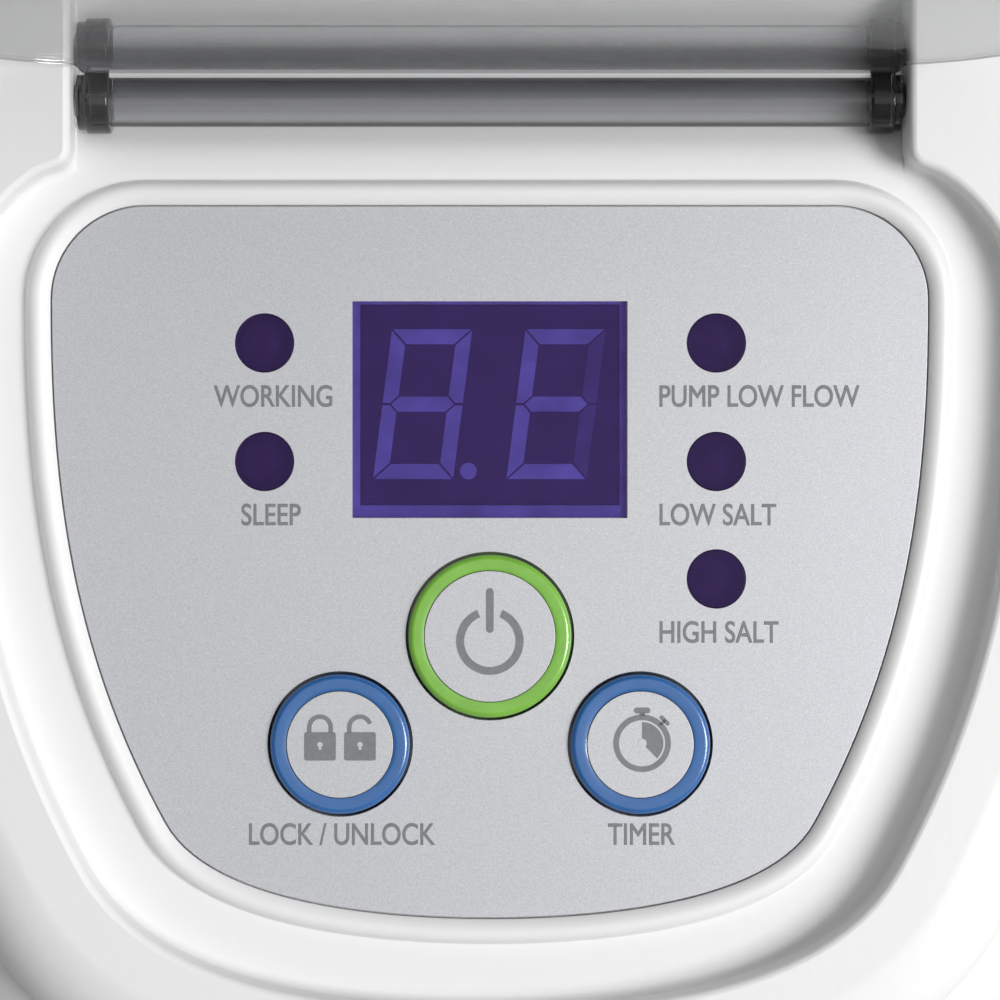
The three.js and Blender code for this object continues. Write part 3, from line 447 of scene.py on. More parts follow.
def turned(profile, segments=64, axis=(1, 0, 0), start=(0, 0, 1)):
    """A solid of revolution about an axis through the origin, from points of radius and length."""
    bm = bmesh.new()
    axis = Vector(axis)
    start = Vector(start)
    points = [axis * along + start * radius for radius, along in profile]
    verts = [bm.verts.new(point) for point in points]
    edges = [bm.edges.new(pair) for pair in zip(verts, verts[1:])]
    if profile[0][0] > 0:
        edges.append(bm.edges.new((verts[-1], verts[0])))
    bmesh.ops.spin(
        bm, geom=verts + edges, cent=(0, 0, 0), axis=axis, angle=math.tau, steps=segments, use_merge=True
    )
    bmesh.ops.remove_doubles(bm, verts=bm.verts, dist=1e-4)
    bmesh.ops.recalc_face_normals(bm, faces=bm.faces)
    return bm


def arc(centre, radius, start, end, steps):
    """Points of an arc, angles in degrees."""
    angles = [math.radians(start + (end - start) * k / steps) for k in range(steps + 1)]
    return [(centre[0] + radius * math.cos(a), centre[1] + radius * math.sin(a)) for a in angles]


def plate(outline_points, low, high, bevel=0.0, segments=2):
    """A flat plate with an outline in u and v, with softened rims."""
    bm = bmesh.new()
    loop = add_loop(bm, [(u, v, low) for u, v in outline_points])
    bmesh.ops.edgeloop_fill(bm, edges=loop)
    lifted = bmesh.ops.extrude_face_region(bm, geom=bm.faces[:])["geom"]
    moved = [item for item in lifted if isinstance(item, bmesh.types.BMVert)]
    bmesh.ops.translate(bm, verts=moved, vec=(0, 0, high - low))
    bmesh.ops.recalc_face_normals(bm, faces=bm.faces)
    if bevel > 0:
        rims = [e for e in bm.edges if len(e.link_faces) == 2 and e.calc_face_angle(0) > 1.0]
        bmesh.ops.bevel(
            bm, geom=rims, offset=bevel, segments=segments, profile=0.5, affect="EDGES", material=-1
        )
    return bm


def block(low, high, bevel=0.0):
    """A box between two opposite corners, with softened edges."""
    bm = bmesh.new()
    size = Vector(high) - Vector(low)
    bmesh.ops.create_cube(bm, size=1.0)
    bmesh.ops.scale(bm, verts=bm.verts, vec=size)
    bmesh.ops.translate(bm, verts=bm.verts, vec=(Vector(high) + Vector(low)) / 2)
    if bevel > 0:
        bmesh.ops.bevel(
            bm, geom=bm.edges[:], offset=bevel, segments=2, profile=0.5, affect="EDGES", material=-1
        )
    return bm


def rod(axis, radius, low, high, at=(0, 0), segments=48, bevel=0.0):
    """A round rod along x, y or z, through the other two coordinates."""
    bm = bmesh.new()
    bmesh.ops.create_cone(
        bm, cap_ends=True, segments=segments, radius1=radius, radius2=radius, depth=high - low
    )
    if bevel > 0:
        rims = [e for e in bm.edges if e.calc_face_angle(0) > 1.0]
        bmesh.ops.bevel(bm, geom=rims, offset=bevel, segments=3, profile=0.5, affect="EDGES", material=-1)
    quarter = math.pi / 2
    turn = {"x": Matrix.Rotation(quarter, 4, "Y"), "y": Matrix.Rotation(quarter, 4, "X"), "z": Matrix()}
    middle = (low + high) / 2
    centre = {"x": (middle, *at), "y": (at[0], middle, at[1]), "z": (*at, middle)}[axis]
    bm.transform(Matrix.Translation(centre) @ turn[axis])
    return bm


def to_object(bm, name, matrix):
    bm.transform(matrix)
    mesh = bpy.data.meshes.new(name)
    bm.to_mesh(mesh)
    bm.free()
    made = bpy.data.objects.new(name, mesh)
    scene.collection.objects.link(made)
    return made


def panel_tool(bm):
    return to_object(bm, "cutter", PANEL)


def row_tool(bm):
    return to_object(bm, "cutter", ROW)


def carve(target, tools, operation="DIFFERENCE"):
    """Cuts or joins the tool objects, then removes them."""
    for tool in tools:
        step = target.modifiers.new("carve", "BOOLEAN")
        step.operation = operation
        step.solver = "EXACT"
        step.object = tool
    bake(target)
    for tool in tools:
        bpy.data.objects.remove(tool)
    return target


def bake(target):
    """Applies the modifiers to the mesh."""
    bpy.context.view_layer.update()
    evaluated = target.evaluated_get(bpy.context.evaluated_depsgraph_get())
    mesh = bpy.data.meshes.new_from_object(evaluated)
    target.modifiers.clear()
    target.data = mesh


def soften(target, sharp_degrees=32):
    """Smooth shading that stays crisp at real edges."""
    mesh = target.data
    mesh.shade_smooth()
    mesh.set_sharp_from_angle(angle=math.radians(sharp_degrees))
    step = target.modifiers.new("even_normals", "WEIGHTED_NORMAL")
    step.keep_sharp = True
    bake(target)


def finished(made, material, body="root", replaces=()):
    """Gives a made object its finish and its place in the assembly."""
    made.data.materials.clear()
    made.data.materials.append(material)
    for face in made.data.polygons:
        face.material_index = 0
    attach(made, body)
    if replaces:
        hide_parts(*replaces)
    return made


def piece(name, bm, matrix, material, body="root", replaces=(), sharp=32):
    made = to_object(bm, name, matrix)
    soften(made, sharp)
    return finished(made, material, body, replaces)


# ---- outlines of the panel, in u and v ----

LABEL_HALF = 41.3
LABEL_TOP = 33.5
LABEL_CORNER = 8.7
STEPS = (16, 16, 36, 28)  # along the half top edge, the corner, the side and the half foot


def mirrored(points):
    """Completes a right half, which runs from the top middle to the bottom middle."""
    return points + [(-u, v) for u, v in reversed(points[1:-1])]


def label_outline():
    top, corner, side, foot = STEPS
    centre = (LABEL_HALF - LABEL_CORNER, LABEL_TOP - LABEL_CORNER)
    knee = (30.5, -24.6)
    curves = [
        ((LABEL_HALF, centre[1]), (LABEL_HALF, 7.6), (39.5, -8.2), knee, side),
        (knee, (26.2, -32.4), (9.1, -LABEL_TOP), (0, -LABEL_TOP), foot),
    ]
    points = [(centre[0] * k / top, LABEL_TOP) for k in range(top)]
    points += arc(centre, LABEL_CORNER, 90, 0, corner)[:-1]
    for first, second, third, last, count in curves:
        ends = [Vector((*p, 0)) for p in (first, second, third, last)]
        points += [(p.x, p.y) for p in interpolate_bezier(*ends, count + 1)][:-1]
    return mirrored(points + [(0, -LABEL_TOP)])


def normals_of(points):
    """Outward unit normals of a clockwise outline."""
    found = []
    for k, point in enumerate(points):
        before, after = Vector(points[k - 1]), Vector(points[(k + 1) % len(points)])
        along = (after - before).normalized()
        found.append((-along.y, along.x))
    return found


LABEL = label_outline()
LABEL_NORMALS = normals_of(LABEL)


def outline(offset, rise=0.0):
    """The label outline grown by an offset, with its upper part stretched up by a rise."""
    grown = []
    for (u, v), (nu, nv) in zip(LABEL, LABEL_NORMALS):
        lift = rise * min(max(v / LABEL_TOP, 0.0), 1.0)
        grown.append((u + nu * offset, v + nv * offset + lift))
    return grown


def grown(points, offset):
    return [(u + nu * offset, v + nv * offset) for (u, v), (nu, nv) in zip(points, normals_of(points))]


# ---- the tower ----

WALL = 2.6
RECESS_OFFSET = 8.4
RECESS_DROP = -2.7
CHANNEL_FLOOR = -4.5
SHOULDER_FLAT = 13.0
SHOULDER_ROUND = 8.0
TOWER_RISE = 9.0
TOWER_BULGE = 1.7
SPLIT_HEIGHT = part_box("upper_housing")[0].z / MM
TRAY_LOW, TRAY_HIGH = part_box("base_tray")
BASE_HALF = Vector(((TRAY_HIGH.x - TRAY_LOW.x) / 2, (TRAY_HIGH.y - TRAY_LOW.y) / 2)) / MM
BASE_MIDDLE = (TRAY_HIGH.y + TRAY_LOW.y) / 2 / MM
BASE_CORNER = 34.0

TROUGH_HALF = 39.2
TROUGH_BACK = 50.0
TROUGH_FLOOR = -8.0
TROUGH_BLOCK_FRONT = 34.5  # where the thicker wall under the trough begins
CORE_TOP = -7.4
hinge = panel_place(Vector(JOINTS["lid_hinge"]["pos_m"]))
HINGE_V, HINGE_H = hinge.y, hinge.z


def base_outline():
    top, corner, side, foot = STEPS
    x, y = BASE_HALF.x - BASE_CORNER, BASE_HALF.y - BASE_CORNER
    straight = side - corner
    points = [(x * k / top, BASE_HALF.y) for k in range(top)]
    points += arc((x, y), BASE_CORNER, 90, 0, corner)[:-1]
    points += [(BASE_HALF.x, y - 2 * y * k / straight) for k in range(straight)]
    points += arc((x, -y), BASE_CORNER, 0, -90, corner)[:-1]
    points += [(x - x * k / foot, -BASE_HALF.y) for k in range(foot)]
    return mirrored(points + [(0, -BASE_HALF.y)])


BASE = base_outline()
BASE_NORMALS = normals_of(BASE)


def base_ring(offset, z):
    return [
        Vector((x + nx * offset, BASE_MIDDLE + y + ny * offset, z))
        for (x, y), (nx, ny) in zip(BASE, BASE_NORMALS)
    ]


def panel_ring(offset, h, rise=0.0):
    """A ring of the outline family, in millimetres of the row frame."""
    place = Matrix.Scale(1 / MM, 4) @ PANEL
    return [place @ Vector((u, v, h)) for u, v in outline(offset, rise)]


def tower_ring(t, inset):
    low = base_ring(-inset, SPLIT_HEIGHT)
    high = panel_ring(SHOULDER_FLAT + SHOULDER_ROUND - inset, -SHOULDER_ROUND, TOWER_RISE)
    drawn = t**TOWER_BULGE
    return [
        Vector((p.x + (q.x - p.x) * drawn, p.y + (q.y - p.y) * drawn, p.z + (q.z - p.z) * t))
        for p, q in zip(low, high)
    ]


def tower_solid(inset, top_h):
    """The tower as one full solid under a rounded shoulder."""
    rings = [tower_ring(k / 14, inset) for k in range(15)]
    round_out = SHOULDER_ROUND - inset * 0.4
    for angle in (12, 24, 36, 48, 60, 72, 84, 90):
        a = math.radians(angle)
        offset = SHOULDER_FLAT + SHOULDER_ROUND - inset - round_out * (1 - math.cos(a))
        h = -SHOULDER_ROUND + (top_h + SHOULDER_ROUND) * math.sin(a)
        rings.append(panel_ring(offset, h, TOWER_RISE - math.sin(a)))
    return loft(rings)


def rounded(corners, radii, steps=6):
    """A polyline whose corners are eased by short curves."""
    eased = []
    for k, (corner, radius) in enumerate(zip(corners, radii)):
        here = Vector(corner)
        if radius <= 0:
            eased.append(tuple(here))
            continue
        start = here + (Vector(corners[k - 1]) - here).normalized() * radius
        end = here + (Vector(corners[(k + 1) % len(corners)]) - here).normalized() * radius
        for step in range(steps + 1):
            s = step / steps
            eased.append(tuple(start * (1 - s) ** 2 + here * 2 * s * (1 - s) + end * s**2))
    return eased


def pocket_outline():
    """The recess and the hinge trough as one outline: the recess with a straight-sided bay on top."""
    edge = outline(RECESS_OFFSET, RECESS_DROP)[: len(LABEL) // 2 + 1]
    right = [p for p in edge if p[0] > TROUGH_HALF + 1.6 or p[1] < 0]
    shoulder_v = next(v for u, v in edge if u > TROUGH_HALF)
    corners = [(0, TROUGH_BACK), (TROUGH_HALF, TROUGH_BACK), (TROUGH_HALF, shoulder_v + 0.25)]
    eased = rounded(corners + [right[0]], [0, 1.0, 1.4, 0])
    return mirrored(eased[:-1] + right)


def pocket_cutter():
    """The pocket with an eased floor edge and a mouth that flares into the shoulder."""
    path = pocket_outline()
    floor_round, mouth_round = 0.9, 0.75
    profile = [(-floor_round, CHANNEL_FLOOR)]
    for angle in (22, 45, 68, 90):
        a = math.radians(angle)
        rise = floor_round * (1 - math.cos(a))
        profile.append((-floor_round * (1 - math.sin(a)), CHANNEL_FLOOR + rise))
    for angle in (0, 16, 32, 48, 64, 80):
        a = math.radians(angle)
        profile.append((mouth_round * (1 - math.cos(a)), -mouth_round + mouth_round * math.sin(a)))
    profile += [(mouth_round + 0.5, 0.12), (mouth_round + 0.5, 4)]
    return loft([[(u, v, h) for u, v in grown(path, offset)] for offset, h in profile])


def trough_cutter():
    """The deeper well under the barrel, with a curved front and back."""
    section = [(36.9, CHANNEL_FLOOR + 0.4), (36.9, CHANNEL_FLOOR)]
    section += [(37.7, -4.55), (38.5, -4.7), (39.3, -5.0), (40.1, -5.5), (40.9, -6.2), (41.7, -6.9)]
    section += [(42.5, -7.5), (43.3, -7.9), (44.1, TROUGH_FLOOR), (47.6, TROUGH_FLOOR)]
    section += [(48.8, -7.7), (49.6, -7.0), (TROUGH_BACK, -6.0), (TROUGH_BACK, CHANNEL_FLOOR + 0.4)]
    return loft([[(u, v, h) for v, h in section] for u in (-TROUGH_HALF, TROUGH_HALF)])


def rim_bead():
    """The rounded bead that frames the label."""
    foot = -5.6
    section = [(0.2, foot), (0.2, -4.02), (0.34, -3.82), (0.62, -3.55), (1.0, -3.32)]
    section += [(1.4, -3.2), (1.75, -3.24), (2.1, -3.42), (2.35, -3.76), (2.5, -4.15)]
    section += [(2.66, -4.42), (2.95, -4.55), (2.95, foot)]
    return loft([[(u, v, h) for u, v in outline(offset)] for offset, h in section], capped=False)


WINDOW_CENTRE_V = panel_place(sum(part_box("display_window"), Vector()) / 2).y
WINDOW = (26.0, 20.5)
DISPLAY_SEAT = (12.2, 8.95, 9.9)  # half width, and reach below and above the window's middle
LAMP_R = 2.75
LED_R = 2.5
LAMPS = ("working", "sleep", "low_flow", "low_salt", "high_salt")
BUTTONS = {"power": (7.7, 6.15), "lock": (6.6, 5.0), "timer": (6.6, 5.0)}  # key and disc radius


def centre_of(node):
    """u and v of a node's middle on the panel."""
    low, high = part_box(node)
    middle = panel_place((low + high) / 2)
    return middle.x, middle.y


LAMP_AT = {name: centre_of("lamp_window_" + name) for name in LAMPS}
BUTTON_AT = {name: centre_of(name + "_button_disc") for name in BUTTONS}


def seat_cutters():
    """Openings under the label for the display, the lamps and the keys."""
    gap = 0.3
    width, foot, top = DISPLAY_SEAT
    low = (-width - 0.1, WINDOW_CENTRE_V - foot - 0.1, -14)
    tools = [block(low, (width + 0.1, WINDOW_CENTRE_V + top + 0.1, 2))]
    tools += [rod("z", LED_R + 0.4, -14, 2, at) for at in LAMP_AT.values()]
    tools += [rod("z", BUTTONS[name][0] + gap, -14, 2, at) for name, at in BUTTON_AT.items()]
    return [panel_tool(tool) for tool in tools]


COVER_HALF = 54.0
cover_low, cover_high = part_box("rear_cover")
COVER_BOTTOM = cover_low.z / MM - 0.3
COVER_TOP = cover_high.z / MM + 0.3
CELL_HEIGHT = sum(p.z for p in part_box("union_nut_right")) / 2 / MM
NOTCH_R = 24.5
SCREWS = [f"cover_screw_{k + 1}" for k in range(4)]
VENT_ROWS = 7
VENT_PITCH = 9.0


def seen_from_behind(node):
    """The middle of a node in x and z, in millimetres."""
    low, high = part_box(node)
    return ((low.x + high.x) / 2 / MM, (low.z + high.z) / 2 / MM)


def cover_block(shrink):
    low = (-COVER_HALF + shrink, BASE_MIDDLE + 20, COVER_BOTTOM + shrink)
    high = (COVER_HALF - shrink, BASE_MIDDLE + 120, COVER_TOP - shrink)
    bm = block(low, high)
    uprights = [e for e in bm.edges if abs((e.verts[0].co - e.verts[1].co).y) > 1]
    bmesh.ops.bevel(bm, geom=uprights, offset=4.0, segments=6, profile=0.5, affect="EDGES", material=-1)
    return row_tool(bm)


def port_cutter():
    reach = BASE_HALF.x + 20
    return row_tool(rod("x", NOTCH_R, -reach, reach, (BASE_MIDDLE, CELL_HEIGHT), 96))


def slot_cutter(z, half, height):
    """A round-ended slot through the back."""
    bm = bmesh.new()
    ends = arc((half, z), height, 90, -90, 8) + arc((-half, z), height, -90, -270, 8)
    near = [bm.verts.new((x, BASE_MIDDLE + 20, h)) for x, h in ends]
    face = bm.faces.new(near)
    lifted = bmesh.ops.extrude_face_region(bm, geom=[face])["geom"]
    moved = [item for item in lifted if isinstance(item, bmesh.types.BMVert)]
    bmesh.ops.translate(bm, verts=moved, vec=(0, 100, 0))
    bmesh.ops.recalc_face_normals(bm, faces=bm.faces)
    return row_tool(bm)


def build_tower():
    shell = to_object(tower_solid(0.0, 0.0), "tower_shell", ROW)
    core = to_object(tower_solid(WALL, CORE_TOP), "tower_core", ROW)
    kept = block(
        (-TROUGH_HALF - 3.8, TROUGH_BLOCK_FRONT, TROUGH_FLOOR - WALL),
        (TROUGH_HALF + 3.8, TROUGH_BACK + WALL, 4),
    )
    carve(core, [panel_tool(kept)])
    cutters = [panel_tool(pocket_cutter()), panel_tool(trough_cutter())]
    carve(shell, cutters)
    carve(shell, [panel_tool(rim_bead())], "UNION")
    carve(shell, [panel_tool(plate(outline(0.25), -4.8, -3.9))] + seat_cutters())
    pins = panel_tool(rod("x", 1.8, -41.7, 41.7, (HINGE_V, HINGE_H)))
    carve(shell, [pins])
    sunk = core.copy()
    sunk.data = core.data.copy()
    scene.collection.objects.link(sunk)
    sunk.data.transform(Matrix.Translation((0, 0, -0.5 * MM)))
    carve(core, [sunk], "UNION")
    carve(shell, [core])
    cover = shell.copy()
    cover.data = shell.data.copy()
    scene.collection.objects.link(cover)
    carve(shell, [port_cutter(), cover_block(0.0)])
    soften(shell)
    finished(shell, WHITE, "root", ["upper_housing"])
    build_cover(cover)


def build_cover(cover):
    cover.name = "service_cover"
    carve(cover, [cover_block(0.3)], "INTERSECT")
    middle = (COVER_BOTTOM + COVER_TOP) / 2
    vents = [
        slot_cutter(middle + (k - (VENT_ROWS - 1) / 2) * VENT_PITCH, 30, 1.6) for k in range(VENT_ROWS)
    ]
    seats = []
    for name in SCREWS:
        at = seen_from_behind(name)
        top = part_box(name)[1].y / MM
        seats.append(row_tool(rod("y", 4.3, top - 2.5, top + 8, at)))
        seats.append(row_tool(rod("y", 2.3, top - 20, top, at)))
    carve(cover, vents + seats)
    soften(cover)
    finished(cover, WHITE, "root", ["rear_cover"])


def build_screws():
    for k, name in enumerate(SCREWS):
        low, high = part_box(name)
        at = seen_from_behind(name)
        top = high.y / MM
        screw = to_object(rod("y", 4.0, top - 2.2, top, at, bevel=0.6), f"cover_fixing_{k + 1}", ROW)
        shank = row_tool(rod("y", 2.0, low.y / MM, top - 1.0, at))
        carve(screw, [shank], "UNION")
        x, z = at
        slots = [
            row_tool(block((x - a, top - 1.2, z - b), (x + a, top + 1, z + b)))
            for a, b in ((2.3, 0.45), (0.45, 2.3))
        ]
        carve(screw, slots)
        soften(screw)
        finished(screw, STEEL, "root", [name])


# ---- tray, feet and gland ----


def build_tray():
    top = TRAY_HIGH.z / MM
    edge = SPLIT_HEIGHT - 0.3
    floor = TRAY_LOW.z / MM
    outside = [(-12, floor), (-9.4, floor + 0.35), (-7, floor + 1.5), (-5.2, floor + 3.4)]
    outside += [(-4.1, floor + 6), (-2.0, edge - 25), (-0.4, edge - 10), (0, edge - 5)]
    rim = [(0, edge - 0.5), (-0.5, edge), (-3.0, edge), (-3.2, top), (-5.0, top)]
    inside = [(-5.2, edge - 12), (-8, floor + 6), (-11, floor + 3)]
    rings = [base_ring(offset, z) for offset, z in outside + rim + inside]
    tray = to_object(loft(rings), "tray_shell", ROW)
    wall = TRAY_HIGH.y / MM
    hole = rod("y", 6.8, wall - 20, wall + 10, seen_from_behind("cable_gland"))
    carve(tray, [port_cutter(), row_tool(hole)])
    soften(tray)
    finished(tray, TRAY_GREY, "root", ["base_tray"])


FOOT_PROFILE = [(0, 0), (8.0, 0), (8.9, 0.25), (9.6, 0.9), (9.8, 1.5)]
FOOT_PROFILE += [(9.4, 2.6), (8.9, 3.4), (8.4, 3.7), (0, 3.7)]


def build_feet():
    for k in range(4):
        name = f"foot_{k + 1}"
        low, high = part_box(name)
        bm = turned(FOOT_PROFILE, 48, axis=(0, 0, 1), start=(1, 0, 0))
        at = Matrix.Translation(((low.x + high.x) / 2, (low.y + high.y) / 2, low.z))
        piece(f"rubber_foot_{k + 1}", bm, at @ ROW, RUBBER, "root", [name])


def build_gland():
    x, z = seen_from_behind("cable_gland")
    wall = TRAY_HIGH.y / MM
    nut = to_object(rod("y", 11, wall + 0.3, wall + 6, (x, z), 6, bevel=0.5), "gland", ROW)
    dome = [(3.4, -12), (6.5, -12), (6.5, 3), (8.5, 3), (8.5, 8.5), (8.1, 10.5)]
    dome += [(7.2, 12.6), (6.0, 13.7), (5.0, 14), (3.4, 14)]
    dome = [(radius, wall + reach) for radius, reach in dome]
    turned_dome = turned(dome, 64, axis=(0, 1, 0), start=(0, 0, 1))
    body = to_object(turned_dome, "cutter", ROW @ Matrix.Translation((x, 0, z)))
    carve(nut, [row_tool(rod("y", 5.5, wall - 20, wall + 20, (x, z)))])
    carve(nut, [body], "UNION")
    nut.name = "lead_gland"
    soften(nut)
    finished(nut, FITTING_DARK, "root", ["cable_gland"])


# ---- hose unions ----

NUT_R = 31
NUT_RIB = 2.4
NUT_RIBS = 10
NUT_STEPS = 240


def union_nut(side):
    node = "union_nut_right" if side > 0 else "union_nut_left"
    low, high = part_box(node)
    inner, outer = sorted((abs(low.x), abs(high.x)))
    inner, outer = inner / MM, outer / MM
    angles = [math.tau * k / NUT_STEPS for k in range(NUT_STEPS)]
    ribbed = [NUT_R + NUT_RIB * max(0.0, math.cos(NUT_RIBS * a)) ** 0.7 for a in angles]
    rings = []
    for x, shrink in ((inner, 1.4), (inner + 0.4, 0.6), (inner + 1.4, 0.0), (outer - 3.4, 0.0)):
        keep = 1 - shrink / NUT_R
        rings.append([(x, keep * r * math.cos(a), keep * r * math.sin(a)) for a, r in zip(angles, ribbed)])
    for x, r in ((outer - 2.2, 29.6), (outer - 1.0, 28.8), (outer - 0.2, 27.6), (outer, 26.8)):
        rings.append([(x, r * math.cos(a), r * math.sin(a)) for a in angles])
    turn = Matrix.Scale(side, 4, (1, 0, 0))
    at = Matrix.Translation((0, BASE_MIDDLE * MM, CELL_HEIGHT * MM))
    bm = loft(rings)
    bm.transform(turn)
    bmesh.ops.recalc_face_normals(bm, faces=bm.faces)
    nut = to_object(bm, node + "_cap", at @ ROW)
    tools = []
    for radius, start, end in ((24.5, inner - 1, outer - 4.9), (19.6, inner, outer + 1)):
        low_x, high_x = sorted((side * start, side * end))
        tools.append(to_object(rod("x", radius, low_x, high_x, (0, 0), 96), "cutter", at @ ROW))
    carve(nut, tools)
    soften(nut, 38)
    finished(nut, FITTING_DARK, node, [node])


def hose_tail(side):
    node = "hose_tail_right" if side > 0 else "hose_tail_left"
    low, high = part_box(node)
    start = min(abs(low.x), abs(high.x)) / MM
    profile = [(16, start), (23.0, start), (23.4, start + 0.4), (23.4, start + 3.6)]
    profile += [(23.0, start + 4), (19, start + 4)]
    for k in range(3):
        x = start + 18 + k * 9
        profile += [(18.4, x - 0.3), (18.6, x), (19.8, x + 1.2)]
        profile += [(20, x + 1.6), (19.9, x + 2.1), (18.5, x + 7.6)]
    profile += [(18.4, start + 46.4), (17.9, start + 47), (16.4, start + 47), (16, start + 46.6)]
    bm = turned([(radius, side * x) for radius, x in profile], 96)
    at = Matrix.Translation((0, BASE_MIDDLE * MM, CELL_HEIGHT * MM))
    piece(node + "_barbed", bm, at @ ROW, FITTING_GREY, "root", [node])


# ---- lid ----

LID_THICK = 2.3
BARREL_R = 2.5
WEB_HALF = 0.95
COLLAR_R = 3.15
COLLAR_INNER = 35.8
PIN_R = 1.5
PIN_END = 41.4


def hinge_ends():
    """The collar, the narrower shoulder and the pin at each end of the barrel."""
    steps = (
        (COLLAR_R, COLLAR_INNER, 38.2, 0.3),
        (COLLAR_R - 0.3, 38.0, TROUGH_HALF - 0.3, 0.1),
        (PIN_R, 38.5, PIN_END, 0.1),
    )
    made = []
    for side in (-1, 1):
        for radius, near, far, bevel in steps:
            low, high = sorted((side * near, side * far))
            ring = rod("x", radius, low, high, (HINGE_V, HINGE_H), 64, bevel=bevel)
            made.append(panel_tool(ring))
    return made


def build_lid():
    """Built shut, in the panel's frame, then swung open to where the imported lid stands."""
    sheet_low = -LID_THICK
    closed = math.radians(JOINTS["lid_hinge"]["range_deg"][1])
    half = TROUGH_HALF - 0.6
    rim = outline(RECESS_OFFSET - 0.5, RECESS_DROP - 1.2)
    edge_v = max(v for u, v in rim)
    right = [p for p in rim[: len(rim) // 2 + 1] if p[0] > half + 1.2 or p[1] < 0]
    first_v = right[0][1]
    corners = [(0, HINGE_V + 1.0), (half, HINGE_V + 1.0), (half, min(edge_v, first_v + 0.6)), right[0]]
    eased = rounded(corners, [0, 0.6, 0.8, 0])
    flat = plate(mirrored(eased[:-1] + right), sheet_low, 0.0, bevel=0.35, segments=3)
    sheet = to_object(flat, "lid_cover", PANEL)
    barrel = panel_tool(rod("x", BARREL_R, -half, half, (HINGE_V, HINGE_H), 64))
    web_high = (half, HINGE_V + WEB_HALF, sheet_low + 0.6)
    web = panel_tool(block((-half, HINGE_V - WEB_HALF, HINGE_H), web_high))
    ridge = rod("x", RIDGE_R, -half, half, (HINGE_V - RIDGE_AT[1], HINGE_H + RIDGE_AT[0]), 24)
    parts = [barrel, web, panel_tool(ridge)] + hinge_ends()
    lip_v = -LABEL_TOP - RECESS_OFFSET + 3
    parts.append(panel_tool(block((-9, lip_v, -1), (9, lip_v + 1.5, 0.9), bevel=0.35)))
    carve(sheet, parts, "UNION")
    splits = []
    for side in (-1, 1):
        low, high = sorted((side * (COLLAR_INNER - 0.1), side * 38.3))
        groove = block((low, HINGE_V - 4, HINGE_H - 0.16), (high, HINGE_V - 2.75, HINGE_H + 0.16))
        splits.append(panel_tool(groove))
    carve(sheet, splits)
    pivot = Vector(JOINTS["lid_hinge"]["pos_m"])
    swing = Matrix.Rotation(-closed, 4, Vector(JOINTS["lid_hinge"]["axis"]))
    sheet.data.transform(Matrix.Translation(pivot) @ swing @ Matrix.Translation(-pivot))
    soften(sheet)
    finished(sheet, SMOKE, "lid", ["lid"])


# ---- label, windows and legends ----


def build_label():
    film = plate(outline(0.1), LABEL_FACE - LABEL_THICK, LABEL_FACE, bevel=0.08)
    label = to_object(film, "label_film", PANEL)
    width, height = WINDOW[0] / 2, WINDOW[1] / 2
    tools = [block((-width, WINDOW_CENTRE_V - height, -6), (width, WINDOW_CENTRE_V + height, -2))]
    tools += [rod("z", LAMP_R + 0.06, -6, -2, at, 64) for at in LAMP_AT.values()]
    tools += [rod("z", BUTTONS[name][0] + 0.28, -6, -2, at, 96) for name, at in BUTTON_AT.items()]
    carve(label, [panel_tool(tool) for tool in tools])
    soften(label)
    finished(label, SILVER, "root", ["panel_label"])


def build_windows():
    width, height = WINDOW[0] / 2 - 0.05, WINDOW[1] / 2 - 0.05
    low = (-width, WINDOW_CENTRE_V - height, LABEL_FACE - 0.3)
    high = (width, WINDOW_CENTRE_V + height, LABEL_FACE - 0.04)
    film = block(low, high, bevel=0.08)
    piece("display_filter", film, PANEL, VIOLET, "root", ["display_window"])
    for name, at in LAMP_AT.items():
        disc = rod("z", LAMP_R, LABEL_FACE - 0.3, LABEL_FACE - 0.04, at, 64, bevel=0.06)
        node = "lamp_window_" + name
        piece(f"lamp_filter_{name}", disc, PANEL, LAMP_VIOLET, "root", [node])


def build_leds():
    for name, at in LAMP_AT.items():
        top, base = -5.3, -13.8
        profile = [(0, base), (2.9, base), (2.9, base + 1), (LED_R, base + 1)]
        profile += [(r, h) for r, h in arc((0, top - LED_R), LED_R, 0, 90, 12)]
        profile[-1] = (0, top)
        bm = turned(profile, 40, axis=(0, 0, 1), start=(1, 0, 0))
        place = PANEL @ Matrix.Translation((*at, 0))
        piece(f"lamp_dome_{name}", bm, place, EPOXY, "root", ["led_" + name])


DIGIT_HEIGHT = 14.2
DIGIT_PITCH = 12.66
DIGIT_WIDTH = 7.6
SEGMENT = 1.42
SLANT = math.tan(math.radians(7.3))
DIGIT_LEFT = -11.1
FAINT_BARS = (5, 6)  # the two bars on the right


